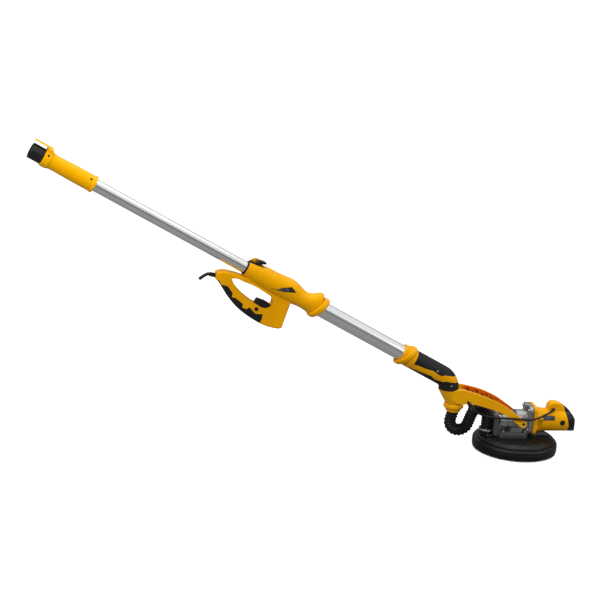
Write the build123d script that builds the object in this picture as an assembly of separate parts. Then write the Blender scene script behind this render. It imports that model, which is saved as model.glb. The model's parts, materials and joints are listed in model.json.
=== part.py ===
from build123d import *
from math import atan2, cos, pi, radians, sin, sqrt, tan
import os

# Pole drywall sander, millimetres.
# World frame: origin at the centre of the sanding face, +Z out of the surface being sanded,
# motor towards +X, pole and operator towards -X, XZ the plane of symmetry.
# Pole frame: x is the distance along the pole axis from the spindle axis towards the operator,
# z is square to the pole and upwards, and +y is the world's -Y.

os.makedirs("parts", exist_ok=True)

# ---- driving dimensions ----------------------------------------------------------------------
POLE_SLOPE = radians(27.2)       # pole above the sanding plane
POLE_LINE_Z = 97.0               # where the pole axis crosses the spindle axis
TILT_X, TILT_Z = 4.0, 90.0       # fork pivot axis, parallel to Y
RUNNING_GAP = 0.05               # radial clearance across a running joint

DISC_R = 112.5
SKIRT_R, SKIRT_INNER_R = 122.0, 113.5
BRISTLE_TOP = 6.0

# along the pole, x in the pole frame
FRONT_TUBE_R, FRONT_TUBE_WALL = 22.5, 1.8
REAR_TUBE_R, REAR_TUBE_WALL = 16.5, 1.6
FRONT_TUBE_START, FRONT_TUBE_END = 322.0, 880.0
REAR_TUBE_START, REAR_TUBE_END = 762.0, 1530.0
HANDLE_END = 921.0
GRIP_START, GRIP_END = 1393.0, 1547.0
ADAPTER_END = 1584.0

NECK_R, NECK_WALL, NECK_RUBBER = 28.4, 5.4, 2.6
NECK_START = 365.9               # x in the pole frame
NECK_END_X, NECK_END_Z = -213.0, 178.5
FOOT_TOP_R, FOOT_LOW_R = 31.0, 24.6
FOOT_LOW_X, FOOT_LOW_Z = -194, 137.0

BAR_HALF = 17.5                  # half thickness of the D handle
ARM_IN, ARM_OUT = 43.0, 51.0     # inner and outer faces of the fork ears, distance from XZ
MOTOR_Z, MOTOR_R = 89.0, 33.5
MOTOR_BORE_R = MOTOR_R - 3.0
HOSE_R, HOSE_BORE_R = 16.5, 13.5
PORT_X = -89.0
CABLE_R = 2.3

CROWN_TEETH, PINION_TEETH, GEAR_MODULE = 40, 8, 1.05
MESH_R = 21.0                    # where the pinion meets the crown gear

FRONT_BORE_R = FRONT_TUBE_R - FRONT_TUBE_WALL
X_DIR, Y_DIR, Z_DIR = (1, 0, 0), (0, 1, 0), (0, 0, 1)
SIDES = (1, -1)
CUT_HALF = 60                    # half width of a prism that passes right through a part

POLE_DIR = Vector(-cos(POLE_SLOPE), 0, sin(POLE_SLOPE))
POLE_UP = Vector(sin(POLE_SLOPE), 0, cos(POLE_SLOPE))
POLE = Plane(origin=(0, 0, POLE_LINE_Z), x_dir=POLE_DIR, z_dir=POLE_UP)


# ---- helpers ---------------------------------------------------------------------------------
def put(name, *shapes):
    """Writes all solids of the shapes as one STEP file."""
    solids = []
    for shape in shapes:
        solids += list(shape.solids())
    out = solids[0] if len(solids) == 1 else Compound(children=solids)
    out.label = name
    export_step(out, f"parts/{name}.step")


def on_pole(shape):
    """Moves a shape from the pole frame to the world."""
    return POLE.location * shape


def largest(shape):
    return max(shape.solids(), key=lambda solid: solid.volume)


def rod(radius, start, direction, length):
    return extrude(Plane(origin=start, z_dir=direction) * Circle(radius), amount=length)


def pipe(outer_r, inner_r, start, direction, length):
    ring = Circle(outer_r) - Circle(inner_r)
    return extrude(Plane(origin=start, z_dir=direction) * ring, amount=length)


def block(x0, x1, y0, y1, z0, z1):
    centre = Pos((x0 + x1) / 2, (y0 + y1) / 2, (z0 + z1) / 2)
    return centre * Box(x1 - x0, y1 - y0, z1 - z0)


def block_on(side, x0, x1, y_in, y_out, z0, z1):
    """A block between two distances from the XZ plane, on the +Y (1) or -Y (-1) side."""
    if side > 0:
        return block(x0, x1, y_in, y_out, z0, z1)
    return block(x0, x1, -y_out, -y_in, z0, z1)


def poly(points):
    return make_face(Polyline(*points, close=True))


def slab(face, half_width, y=0.0):
    """A face drawn in (x, z), made into a plate centred on y."""
    return Pos(0, y, 0) * extrude(Plane.XZ * face, amount=half_width, both=True)


def slab_between(face, y0, y1):
    return slab(face, abs(y1 - y0) / 2, (y0 + y1) / 2)


def turned_x(points):
    """A solid of revolution about X from (x, r) points."""
    return revolve(make_face(Plane.XY * Polyline(*points, close=True)), Axis.X)


def turned_z(points):
    """A solid of revolution about Z from (r, z) points."""
    return revolve(make_face(Plane.XZ * Polyline(*points, close=True)), Axis.Z)


def hexagon(radius, centre, direction, depth):
    """A hexagonal prism for a socket."""
    return extrude(Plane(origin=centre, z_dir=direction) * RegularPolygon(radius, 6), amount=depth)


def soften(shape, edges, *radii):
    """Rounds edges with the first radius that works, or leaves the shape as it is."""
    for radius in radii:
        # the kernel may refuse a radius too large for the neighbouring faces
        try:
            out = fillet(edges, radius)
            if out.is_valid and out.volume > 0:
                return out
        except Exception:
            continue
    return shape


def half(shape, side):
    """The part of a shape on its +Y (1) or -Y (-1) side."""
    big = 4000
    return shape & (Pos(0, side * big / 2, 0) * Box(2 * big, big, 2 * big))


def socket_screw(head_r, head_h, shank_r, length, start, direction):
    """A screw with its head's outer face at start, pointing along direction."""
    direction = Vector(*direction).normalized()
    head = rod(head_r, start, direction, head_h)
    head -= hexagon(head_r * 0.55, start, direction, head_h * 0.55)
    return head + rod(shank_r, Vector(*start) + direction * head_h, direction, length)


def bead(radius, x, lean, half_width, *radii):
    """A rounded ring round the pole, leaning so that its top is nearer the head."""
    normal = Vector(cos(radians(lean)), 0, sin(radians(lean)))
    cutter = extrude(Plane(origin=Vector(x, 0, 0) - normal * half_width, x_dir=Y_DIR,
                           z_dir=normal) * Circle(90), amount=2 * half_width)
    ring = rod(radius, (x - 70, 0, 0), X_DIR, 140) & cutter
    return soften(ring, [e for e in ring.edges() if e.length > 3 * radius], *radii)


# ==============================================================================================
# Main handle, pole frame
# ==============================================================================================
# x, z of the centre, half width, half height
SLEEVE_SECTIONS = [
    (684.5, 0.0, 25.2, 25.0), (722, 0.0, 26.0, 25.6), (755, 0.3, 27.5, 27.0),
    (788, 2.3, 29.3, 32.4), (822, 0.8, 30.0, 31.2), (858, 0.2, 29.6, 30.2),
    (886, 0.0, 27.8, 28.2), (906, 0.0, 25.6, 25.8), (HANDLE_END, 0.0, 24.2, 24.2),
]
# (x, z) outlines
BAR_REAR = [(906, -19), (921, -22.6), (938, -25.4), (957, -30), (977, -37.8), (988, -49)]
BAR_BELLY = [(982.5, -64.5), (969, -69), (950, -79.5), (926, -92), (900, -102.5), (870, -110),
             (836, -114), (806, -114.5), (776, -110), (756, -103.5)]
HAND_HOLE = [(942, -43.5), (922, -57.5), (897, -66.5), (868, -71.8), (840, -73.5),
             (819, -71.5), (809.5, -62), (808.5, -49), (815, -38.5), (833, -33), (860, -30.8),
             (887, -31), (915, -34.2), (937, -38)]
BAR_HOLLOW = [(972, -61), (950, -73.5), (926, -86), (900, -96.5), (870, -104), (836, -108),
              (806, -108), (780, -104.5), (761, -98), (771, -33), (798, -33), (802, -62),
              (812, -79), (840, -80), (868, -77.5), (897, -72), (926, -62.5), (948, -49),
              (962, -41), (974, -46)]
RUBBER_ZONE = [(975, -62), (961, -70.5), (943, -65.5), (921, -76), (917.5, -87), (908, -84.5),
               (899, -85.5), (881, -88.5), (877.5, -98.5), (865, -97.5), (860, -88.5),
               (846, -93.5), (836, -96.5), (817, -88), (812, -103), (812, -125), (900, -125),
               (975, -90)]
CLAMP_EAR = [(886, 18), (888, 30), (893, 35.5), (904, 36.5), (912, 33), (918, 24), (919, 17)]
LEVER_SLOT = [(868, 29.5), (868, 50), (925, 50), (925, 20.5), (886, 20.5), (880, 27)]
TRIGGER_POCKET = [(806.2, -58), (806.2, -83), (818, -85), (856, -88), (856, -58)]
BADGE = [(846, -14.5), (821, -6.5), (813, 3.5), (788, 18.5), (768, 10), (806, -6.5)]
FLANK_GROOVE = [(894, 8), (897.5, 20), (899.5, 19.4), (896, 7.4)]

HANDLE_SCREWS = [(962, -55), (889, -78.5), (781, -92), (786, -42)]
LOCK_X, LOCK_Z, LOCK_R = 841.0, -83.5, 5.4
TRIGGER_X, TRIGGER_Z, TRUNNION_R = 813.0, -77.0, 2.5
DIAL_X, DIAL_Z, DIAL_SPINDLE_R = 783.0, -66.0, 3.0
CORD_START = Vector(968, 0, -53.5)
CORD_DIR = Vector(0.96, 0, -0.28).normalized()

SHOE_TOP = REAR_TUBE_R + 5.0
CAM_R, CAM_OFFSET, CLAMP_PIN_R = 6.0, 1.0, 2.4
LEVER_X, LEVER_Z = 899.0, SHOE_TOP + 0.06 + CAM_R + CAM_OFFSET


def sleeve_loft(inset):
    """The sleeve round the tube, drawn in by inset."""
    return loft([Plane(origin=(x, 0, z), x_dir=Y_DIR, z_dir=X_DIR)
                 * Ellipse(half_width - inset, half_height - inset)
                 for x, z, half_width, half_height in SLEEVE_SECTIONS])


def d_bar():
    """The D below the sleeve with its hand hole, still solid."""
    outline = (
        Line((906, -8), BAR_REAR[0])
        + Spline(*BAR_REAR)
        + Line(BAR_REAR[-1], BAR_BELLY[0])
        + Spline(*BAR_BELLY)
        + Line(BAR_BELLY[-1], (750, -97))
        + Line((750, -97), (764.5, -24))
        + Line((764.5, -24), (764.5, -2))
        + Line((764.5, -2), (906, -8))
    )
    bar = slab(make_face(outline), BAR_HALF)
    rims = bar.edges().group_by(Axis.Y)
    bar = soften(bar, rims[0] + rims[-1], 7.0, 5.0, 3.0)
    bar -= slab(make_face(Spline(*HAND_HOLE, periodic=True)), CUT_HALF)
    hole_edges = [e for e in bar.edges() if abs(abs(e.center().Y) - BAR_HALF) < 0.3
                  and 830 < e.center().X < 925 and -74 < e.center().Z < -30]
    if hole_edges:
        bar = soften(bar, hole_edges, 5.0, 3.5, 2.0, 1.0)
    return bar


def handle_blank(sleeve, bar):
    """Sleeve, front bead, D bar and clamp ear, bored for the tubes and the clamp."""
    flange = bead(33.6, 686.0, 21.0, 9.0, 6.0, 5.0, 3.0)
    ear = slab_between(poly(CLAMP_EAR), 0.0, -14.5)
    ear = soften(ear, ear.edges().filter_by(Axis.Y), 2.5, 1.0)
    body = sleeve + flange + bar + ear
    body -= slab_between(poly(LEVER_SLOT), -8.4, 13.6)
    bush_end, rear_clear_r = FRONT_TUBE_END + 3, REAR_TUBE_R + 2.0
    body -= turned_x([(600, 0), (600, FRONT_TUBE_R), (bush_end, FRONT_TUBE_R),
                      (bush_end, rear_clear_r), (930, rear_clear_r), (930, 0)])
    body -= block(889.4, 908.6, -8.4, 8.4, 10, 40)      # window the clamp shoe works in
    body -= rod(2.5, (LEVER_X, -20, LEVER_Z), Y_DIR, 40)
    return body


def handle_core():
    """The hollow of the D, less the four screw pillars."""
    core = slab(poly(BAR_HOLLOW), BAR_HALF - 3.2)
    for x, z in HANDLE_SCREWS:
        core -= rod(5.2, (x, -30, z), Y_DIR, 60)
    return core


def handle_rubber(bar, core):
    rubber = ((bar - core) & slab(poly(RUBBER_ZONE), CUT_HALF)) - core
    rubber -= rod(11.2, (LOCK_X, 0, LOCK_Z), Y_DIR, 40)
    return largest(rubber)


def finish_handle(body, core, rubber, badge_ring):
    """Cuts the seats of everything the two handle shells carry."""
    body = body - core - rubber - slab(poly(TRIGGER_POCKET), 7.6)
    # lock button boss
    body += rod(9.6, (LOCK_X, 14.0, LOCK_Z), Y_DIR, 4.6)
    body -= rod(LOCK_R + RUNNING_GAP, (LOCK_X, 8.0, LOCK_Z), Y_DIR, 20)
    body -= rod(TRUNNION_R + RUNNING_GAP, (TRIGGER_X, -11, TRIGGER_Z), Y_DIR, 22)
    body -= rod(6.3, CORD_START, CORD_DIR, 40)
    # dial recess and spindle bore
    body -= rod(9.2, (DIAL_X, -BAR_HALF - 5, DIAL_Z), Y_DIR, 5 + 3.0)
    body -= rod(DIAL_SPINDLE_R + RUNNING_GAP, (DIAL_X, -BAR_HALF - 5, DIAL_Z), Y_DIR, 14)
    # badge recesses, then the flank grooves
    body -= slab(poly(BADGE), CUT_HALF) & badge_ring
    groove = poly(FLANK_GROOVE)
    body -= slab_between(groove, 24.0, 40) + slab_between(groove, -24.0, -40)
    for x, z in HANDLE_SCREWS:
        body -= rod(3.7, (x, -BAR_HALF + 3.0, z), (0, -1, 0), 10)
        body -= rod(1.7, (x, BAR_HALF - 6, z), (0, -1, 0), 40)
    return body


sleeve = sleeve_loft(0.0)
sleeve_inset = sleeve_loft(1.8)
bar = d_bar()
core = handle_core()
grip_rubber = handle_rubber(bar, core)
body = finish_handle(handle_blank(sleeve, bar), core, grip_rubber, sleeve - sleeve_inset)
put("handle_shell_right", on_pole(largest(half(body, 1))))
put("handle_shell_left", on_pole(largest(half(body, -1))))
put("handle_grip_rubber", on_pole(grip_rubber))
badges = (slab(offset(poly(BADGE), amount=-1.1), CUT_HALF)
          & (sleeve_loft(0.7) - sleeve_inset))
put("badge_plates", *[on_pole(plate) for plate in badges.solids() if plate.volume > 20])
handle_screws = [socket_screw(3.4, 2.6, 1.6, 22, (x, -BAR_HALF + 0.4, z), Y_DIR)
                 for x, z in HANDLE_SCREWS]

# ---- controls and cord in the handle ---------------------------------------------------------
TRIGGER = [(809.5, -57), (813, -55.4), (830, -54.6), (851, -57.8), (852.5, -61), (852.5, -72),
           (849, -77), (830, -79.3), (813, -79.5), (809.2, -77)]      # x, z
DIAL_NOTCHES = 24


def make_trigger():
    trigger = slab(poly(TRIGGER), 7.2)
    finger_edges = [e for e in trigger.edges().filter_by(GeomType.LINE)
                    if e.center().Z > -62 and abs(e.center().Y) > 7]
    trigger = soften(trigger, finger_edges, 1.6, 1.0, 0.5)
    return trigger + rod(TRUNNION_R, (TRIGGER_X, -10.6, TRIGGER_Z), Y_DIR, 21.2)


def make_lock_button():
    button = rod(LOCK_R, (LOCK_X, 12.2, LOCK_Z), Y_DIR, 7.6)
    return soften(button, button.edges().group_by(Axis.Y)[-1], 0.8, 0.4)


def make_switch():
    switch = block(818, 866, -9, 9, -103, -89.5)
    switch += block(846, 862, -6, 6, -89.5, -88.6)
    switch -= rod(1.6, (824, -20, -97), Y_DIR, 40)
    return switch - rod(6.5, (LOCK_X, 9.1, LOCK_Z), Y_DIR, 10)


def make_dial():
    inner_y, notch_circle_r = -BAR_HALF + 2.8, 9.1
    notches = []
    for i in range(DIAL_NOTCHES):
        angle = 2 * pi * i / DIAL_NOTCHES
        start = (DIAL_X + notch_circle_r * cos(angle), -BAR_HALF + 3.4,
                 DIAL_Z + notch_circle_r * sin(angle))
        notches.append(rod(0.7, start, (0, -1, 0), 8))
    dial = rod(8.9, (DIAL_X, inner_y, DIAL_Z), (0, -1, 0), 4.8) - sum(notches, Part())
    return dial + rod(DIAL_SPINDLE_R, (DIAL_X, inner_y, DIAL_Z), Y_DIR, 6)


def make_cord_sleeve():
    sleeve = rod(6.2, CORD_START + CORD_DIR * 1, CORD_DIR, 32)
    sleeve -= rod(4.5, CORD_START, CORD_DIR, 40)
    for i in range(3):
        sleeve -= pipe(9, 5.5, CORD_START + CORD_DIR * (20 + 4 * i), CORD_DIR, 1.4)
    return sleeve


def make_power_cord():
    bend_start = CORD_START + CORD_DIR * 34
    path = Line(CORD_START + CORD_DIR * 0.5, bend_start)
    path = path + Spline(bend_start, Vector(1009, 0, -71), Vector(1018, 0, -89),
                         tangents=[CORD_DIR, Vector(0.35, 0, -0.94)])
    return sweep(Plane(origin=path @ 0, z_dir=path % 0) * Circle(4.4), path)


put("trigger", on_pole(make_trigger()))
put("lock_button", on_pole(make_lock_button()))
put("switch_module", on_pole(make_switch()))
put("speed_dial", on_pole(make_dial()))
put("cord_sleeve", on_pole(make_cord_sleeve()))
put("power_cord", on_pole(make_power_cord()))

# ---- tube clamp ------------------------------------------------------------------------------
# x, z
SHOE_HEEL = [(905, 20.6), (921.2, 20.6), (921.2, 23.6), (913, 25.4), (908, 24.2), (905, 22.4)]
LEVER = [(903.5, 29.5), (902.5, 34.2), (897, 37.4), (889, 39.0), (880, 39.4), (878.5, 37.0),
         (886, 33.6), (890.5, 30.2), (892.5, 25.6), (899, 24.0)]


def make_clamp_shoe():
    shoe = block(890, 908, -8, 8, 8, SHOE_TOP)
    shoe -= rod(REAR_TUBE_R + 0.02, (880, 0, 0), X_DIR, 40)
    shoe = largest(shoe) & block(890, 908, -7.9, 7.9, 12, 30)
    # the heel fills the top of the housing behind the lever
    return shoe + slab_between(poly(SHOE_HEEL), -8.2, 13.4)


def make_clamp_lever():
    lever = slab_between(poly(LEVER), -7.8, 13.0)
    lever = soften(lever, lever.edges().filter_by(Axis.Y), 1.0, 0.5)
    lever += rod(CAM_R, (LEVER_X, -7.8, LEVER_Z - CAM_OFFSET), Y_DIR, 20.8)
    return lever - rod(CLAMP_PIN_R + RUNNING_GAP, (LEVER_X, -20, LEVER_Z), Y_DIR, 40)


put("clamp_shoe", on_pole(make_clamp_shoe()))
put("clamp_lever", on_pole(make_clamp_lever()))
clamp_pin = on_pole(rod(CLAMP_PIN_R, (LEVER_X, -14.3, LEVER_Z), Y_DIR, 27.0))

# ==============================================================================================
# Tubes and rear grip, pole frame
# ==============================================================================================
GRIP_SCREW_X, HOOD_SCREW_X, GRIP_SCREW_Z = 1410.0, 1537.5, 12.5
# x from the front of the grip, radius
GRIP_PROFILE = [(0, 0), (0, 22.4), (1.5, 23.4), (6, 23.4), (9, 22.2), (30, 22.4), (70, 22.2),
                (110, 21.2), (125, 21.4), (131, 22.4), (135, 24.4), (138, 25.0)]
# x, z
HOOD = [(1526, 18), (1529, 27.5), (1533, 31.8), (1537, 33.6), (ADAPTER_END, 33.6),
        (1586, 31.6), (1586, 30.6), (GRIP_END, 30.2), (GRIP_END, 18)]


def grip_screw_hole(side):
    """The pilot hole through grip and tube at the front of the grip."""
    return rod(1.4, (GRIP_SCREW_X, side * 9, GRIP_SCREW_Z), (0, side, 0), 12)


def make_guide_bush():
    """A flanged bush in the rear mouth of the front tube."""
    mouth, bore_r, flange_r = FRONT_TUBE_END, REAR_TUBE_R + RUNNING_GAP, FRONT_TUBE_R - 0.05
    return turned_x([(mouth - 36, bore_r), (mouth - 36, FRONT_BORE_R), (mouth, FRONT_BORE_R),
                     (mouth, flange_r), (mouth + 3, flange_r), (mouth + 3, bore_r)])


def make_slider():
    """A grooved ring near the front end of the rear tube, running in the front tube."""
    outer_r = FRONT_BORE_R - RUNNING_GAP
    slider = turned_x([(764, REAR_TUBE_R), (764, outer_r), (790, outer_r), (790, REAR_TUBE_R)])
    groove_low, groove_top = FRONT_BORE_R - 1.2, FRONT_BORE_R + 1
    slider -= turned_x([(774, groove_low), (774, groove_top), (780, groove_top),
                        (780, groove_low)])
    return slider


def make_wiper():
    inner_r, back = REAR_TUBE_R + RUNNING_GAP, HANDLE_END + 3.4
    return turned_x([(HANDLE_END, inner_r), (HANDLE_END, 20.4), (back, 19.4), (back, inner_r)])


def make_rear_tube():
    tube = pipe(REAR_TUBE_R, REAR_TUBE_R - REAR_TUBE_WALL, (REAR_TUBE_START, 0, 0), X_DIR,
                REAR_TUBE_END - REAR_TUBE_START)
    for side in SIDES:
        tube -= grip_screw_hole(side)
    return tube


def make_hood():
    """The half-round lip that reaches back over the hose adapter."""
    hood = slab(poly(HOOD), 17) & rod(33.6, (1500, 0, 0), X_DIR, 120)
    hood -= pipe(30.4, 0.01, (GRIP_END, 0, 0), X_DIR, 60)
    front_edges = [e for e in hood.edges() if e.center().X < 1537 and e.center().Z > 24]
    return soften(hood, front_edges, 1.5, 0.8)


def make_grip():
    profile = [(GRIP_START + x, r) for x, r in GRIP_PROFILE]
    profile += [(GRIP_END - 1.5, 25.0), (GRIP_END, 24.0), (GRIP_END, 0)]
    grip = turned_x(profile) + make_hood()
    # seats of the rear tube and of the adapter's flange
    grip -= rod(REAR_TUBE_R, (GRIP_START - 5, 0, 0), X_DIR, REAR_TUBE_END - GRIP_START + 5)
    grip -= rod(15.0, (1529, 0, 0), X_DIR, 3)
    grip -= rod(19.5 + RUNNING_GAP, (1531.5, 0, 0), X_DIR, 5.2)
    grip -= rod(17.0 + RUNNING_GAP, (1536, 0, 0), X_DIR, 20)
    for x, seat_y in ((GRIP_SCREW_X, 17.3), (HOOD_SCREW_X, 20.2)):
        for side in SIDES:
            grip -= rod(3.1, (x, side * seat_y, GRIP_SCREW_Z), (0, side, 0), 12)
    for side in SIDES:
        grip -= grip_screw_hole(side)
    for side in SIDES:
        grip -= rod(1.41, (HOOD_SCREW_X, side * 20.19, GRIP_SCREW_Z), (0, side, 0), 3)
    return grip


def make_grip_screws():
    """Two at each station: x, y of the head, head height, shank radius, shank length."""
    return [socket_screw(2.8, head_h, shank_r, length, (x, side * y, GRIP_SCREW_Z),
                         (0, -side, 0))
            for x, y, head_h, shank_r, length in ((GRIP_SCREW_X, 19.3, 2.0, 1.4, 7.5),
                                                  (HOOD_SCREW_X, 22.2, 1.6, 1.41, 0.4))
            for side in SIDES]


def make_adapter():
    adapter = turned_x([(1532, 14), (1532, 19.5), (1536.2, 19.5), (1536.2, 17.0),
                        (1547.4, 17.0), (1547.4, 21.5), (ADAPTER_END, 21.5),
                        (ADAPTER_END, 18.0), (1551, 18.0), (1551, 14)])
    rims = [e for e in adapter.edges().filter_by(GeomType.CIRCLE) if e.radius > 21]
    adapter = soften(adapter, rims, 1.2, 0.6)
    for i in range(12):
        angle = 2 * pi * i / 12
        adapter -= rod(0.9, (1550, 21.9 * cos(angle), 21.9 * sin(angle)), X_DIR, 8)
    return adapter


front_tube = pipe(FRONT_TUBE_R, FRONT_BORE_R, (FRONT_TUBE_START, 0, 0), X_DIR,
                  FRONT_TUBE_END - FRONT_TUBE_START)
put("front_tube", on_pole(front_tube))
put("guide_bush", on_pole(make_guide_bush()))
put("wiper_ring", on_pole(make_wiper()))
grip = make_grip()
put("rear_grip_right", on_pole(half(grip, 1)))
put("rear_grip_left", on_pole(half(grip, -1)))
put("rear_grip_screws", *[on_pole(screw) for screw in make_grip_screws()])
put("rear_tube", on_pole(make_rear_tube()))
put("tube_slider", on_pole(make_slider()))
put("hose_adapter", on_pole(make_adapter()))

# ==============================================================================================
# Neck: collar in the pole frame, the rest in the world frame
# ==============================================================================================
# x, z: the band where the shell shows through the rubber
NECK_STRIPE = [(-372, 262), (-352, 261), (-341, 260.5), (-317, 254.5), (-293, 245),
               (-271, 239), (-259, 230.5), (-246, 224), (-236, 226.5), (-214, 222),
               (-190, 219), (-170, 216), (-170, 200), (-190, 202), (-201, 203), (-230, 208.5),
               (-239, 206), (-263, 212), (-275, 223), (-318, 237.5), (-347, 247.5),
               (-372, 252)]
NECK_SCREWS = [(-258, 238), (-213, 195)]      # x, z


def make_collar():
    collar = turned_x([(366, 0), (366, 27.4), (367.5, 28.8), (404, 28.2), (408, 26.0), (408, 0)])
    collar += bead(33.8, 392.5, 26.0, 8.0, 5.5, 4.5, 3.0)
    return collar - (rod(FRONT_TUBE_R, (300, 0, 0), X_DIR, 200)
                     + rod(60, (300, 0, 0), X_DIR, 66))


# the bend starts as far up the pole from where the two centre lines cross as it ends below
CROSSING = Vector(0, 0, POLE_LINE_Z) + POLE_DIR * (-NECK_END_X / cos(POLE_SLOPE))
BEND_START = CROSSING + POLE_DIR * (CROSSING.Z - NECK_END_Z)


def neck_sweep(radius, over=0.0):
    """The straight neck and its elbow at one radius, moved or run on by over at each end."""
    start = Vector(0, 0, POLE_LINE_Z) + POLE_DIR * (NECK_START + over)
    end = (NECK_END_X, 0, NECK_END_Z)
    path = Line(start, BEND_START)
    path = path + TangentArc(BEND_START, end, tangent=-POLE_DIR)
    if over:
        path = path + Line(end, (NECK_END_X, 0, NECK_END_Z - over))
    return sweep(Plane(origin=start, x_dir=Y_DIR, z_dir=-POLE_DIR) * Circle(radius), path)


def make_neck(outer):
    """The rubber, the shell under it before splitting, and the screws on both flanks."""
    inner = neck_sweep(NECK_R - NECK_RUBBER, 4.0)
    bore = neck_sweep(NECK_R - NECK_WALL, 6.0)
    stripe = slab(poly(NECK_STRIPE), CUT_HALF)
    shell = (inner & outer) + (outer & stripe)
    shell = shell - bore - on_pole(rod(FRONT_TUBE_R, (385, 0, 0), X_DIR, 60))
    rubber = outer - inner - stripe
    neck_screws = []
    for x, z in NECK_SCREWS:
        for side in SIDES:
            rubber -= rod(3.4, (x, side * 18, z), (0, side, 0), 20)
            shell -= rod(1.5, (x, side * 15, z), (0, side, 0), 20)
            shell -= rod(3.4, (x, side * 24.6, z), (0, side, 0), 20)
            neck_screws.append(socket_screw(3.2, 2.0, 1.5, 3.5, (x, side * 26.6, z),
                                            (0, -side, 0)))
    return rubber, shell, neck_screws


put("neck_collar", on_pole(make_collar()))
neck_outer = neck_sweep(NECK_R)
neck_rubber, neck_shell, neck_screws = make_neck(neck_outer)
put("neck_rubber", *[piece for piece in neck_rubber.solids() if piece.volume > 50])
put("neck_shell_left", largest(half(neck_shell, 1)))
put("neck_shell_right", largest(half(neck_shell, -1)))
put("shell_screws", *[on_pole(screw) for screw in handle_screws], *neck_screws)

# ==============================================================================================
# Fork: elbow foot and two trussed arms, world frame from here on
# ==============================================================================================
# side view, x, z
ARM_TOP = [(-222, 171), (-200, 180.5), (-177, 184), (-160, 181), (-130, 173), (-95, 161),
           (-71, 150.5), (-47, 137.5), (-23, 121.5), (-5, 109), (10, 97.5)]
ARM_UNDERSIDE = [(-6, 84.0), (-22, 96), (-45, 112), (-69, 124.5), (-93, 132.5), (-128, 141),
                 (-152, 144.5), (-180, 142), (-205, 150)]
ARM_POCKETS = [
    [(-166, 175), (-166, 151), (-146, 150)], [(-159, 175.5), (-137, 150.5), (-141, 171)],
    [(-136, 169.5), (-132, 149.5), (-114, 145)], [(-130, 168), (-109, 145.5), (-112, 161.5)],
    [(-106, 159.5), (-103, 142), (-84, 138)], [(-100, 157.5), (-79, 138), (-81, 149.5)],
    [(-75, 147), (-73.5, 134), (-55, 127.5)], [(-69, 143.5), (-50.5, 127.5), (-50, 133)],
]
# plan view, x, distance from the plane of symmetry
ARM_OUTSIDE = [(-180, 32.5), (-150, 38.0), (-120, 43.2), (-90, 47.4), (-60, 50.0),
               (-35, ARM_OUT)]
ARM_PLAN = [(-226, 10), (-222, 22), (-205, 28.5), *ARM_OUTSIDE, (16, ARM_OUT), (16, ARM_IN),
            (-30, ARM_IN), (-58, 42.0), (-88, 39.2), (-118, 35.0), (-148, 29.6), (-172, 24.0),
            (-186, 16.0), (-192, 6), (-192, 0), (-226, 0)]
# head cable from the foot along the -Y arm to the motor, x, y, z
CABLE_POINTS = [(-168, -22, 158), (-163, -33, 151.5), (-156, -46, 139), (-144, -53.5, 129),
                (-127, -55.5, 120.5), (-103, -56.5, 114), (-80, -57, 111), (-57, -57.2, 110),
                (-34, -57.2, 109), (-11, -57, 107.5), (8, -56, 105.8), (22, -53.5, 104.6),
                (37, -50, 105.5), (52, -45.8, 109), (66, -40.5, 113.5), (80, -35, 118),
                (92, -27.5, 122.2)]
TILT_PIN_R = 4.3


def foot_cone(inset):
    """The tapered foot under the neck, drawn in by inset."""
    top = Plane(origin=(NECK_END_X, 0, NECK_END_Z), x_dir=X_DIR, z_dir=Z_DIR)
    low = Plane(origin=(FOOT_LOW_X, 0, FOOT_LOW_Z), x_dir=X_DIR, z_dir=Z_DIR)
    return loft([low * Circle(FOOT_LOW_R - inset), top * Circle(FOOT_TOP_R - inset)],
                ruled=True)


def make_arm(side):
    profile = make_face(
        Spline(*ARM_TOP)
        + ThreePointArc((10, 97.5), (13.6, 88.2), (8, 80.2))
        + ThreePointArc((8, 80.2), (1.0, 80.0), (-6, 84.0))
        + Spline(*ARM_UNDERSIDE)
        + Line((-205, 150), (-222, 171))
    )
    plan = poly([(x, side * y) for x, y in ARM_PLAN])
    arm = largest(extrude(plan, amount=260) & slab(profile, CUT_HALF))
    # the long edges above a line falling along the arm
    upper_edges = [e for e in arm.edges() if e.length > 6 and abs(e.center().Y) > 36
                   and -150 < e.center().X < 0
                   and e.center().Z > 154.0 - 0.55 * (e.center().X + 120)]
    return soften(arm, upper_edges, 1.2, 0.7)


def arm_outer_y(x):
    """Distance of the arm's outer face from the plane of symmetry at x."""
    for (x0, y0), (x1, y1) in zip(ARM_OUTSIDE, ARM_OUTSIDE[1:]):
        if x0 <= x <= x1:
            return y0 + (y1 - y0) * (x - x0) / (x1 - x0)


def make_fork_half(side):
    fork = half(foot_cone(0.0), side) + make_arm(side)
    # triangular pockets in the arm's inner face leave a zigzag truss
    for triangle in ARM_POCKETS:
        outer = arm_outer_y(min(x for x, z in triangle))
        face = poly(triangle)
        # a thin triangle that cannot be offset is cut full size
        try:
            face = offset(face, amount=-1.0)
        except Exception:
            pass
        fork -= slab_between(face, side * 10, side * (outer - 2.6))
    fork -= foot_cone(3.4)
    fork -= rod(FOOT_LOW_R, (FOOT_LOW_X, 0, 100), Z_DIR, 37.0)
    fork -= rod(TILT_PIN_R, (TILT_X, side * 30, TILT_Z), (0, side, 0), 40)
    fork -= neck_outer
    # way out for the head cable
    if side == -1:
        way = [Vector(*point) for point in CABLE_POINTS[:5]]
        way = [way[0] - (way[1] - way[0])] + way
        for start, end in zip(way, way[1:]):
            fork -= rod(3.5, start, end - start, (end - start).length)
            fork -= Pos(*start) * Sphere(3.5)
    return largest(fork)


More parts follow.
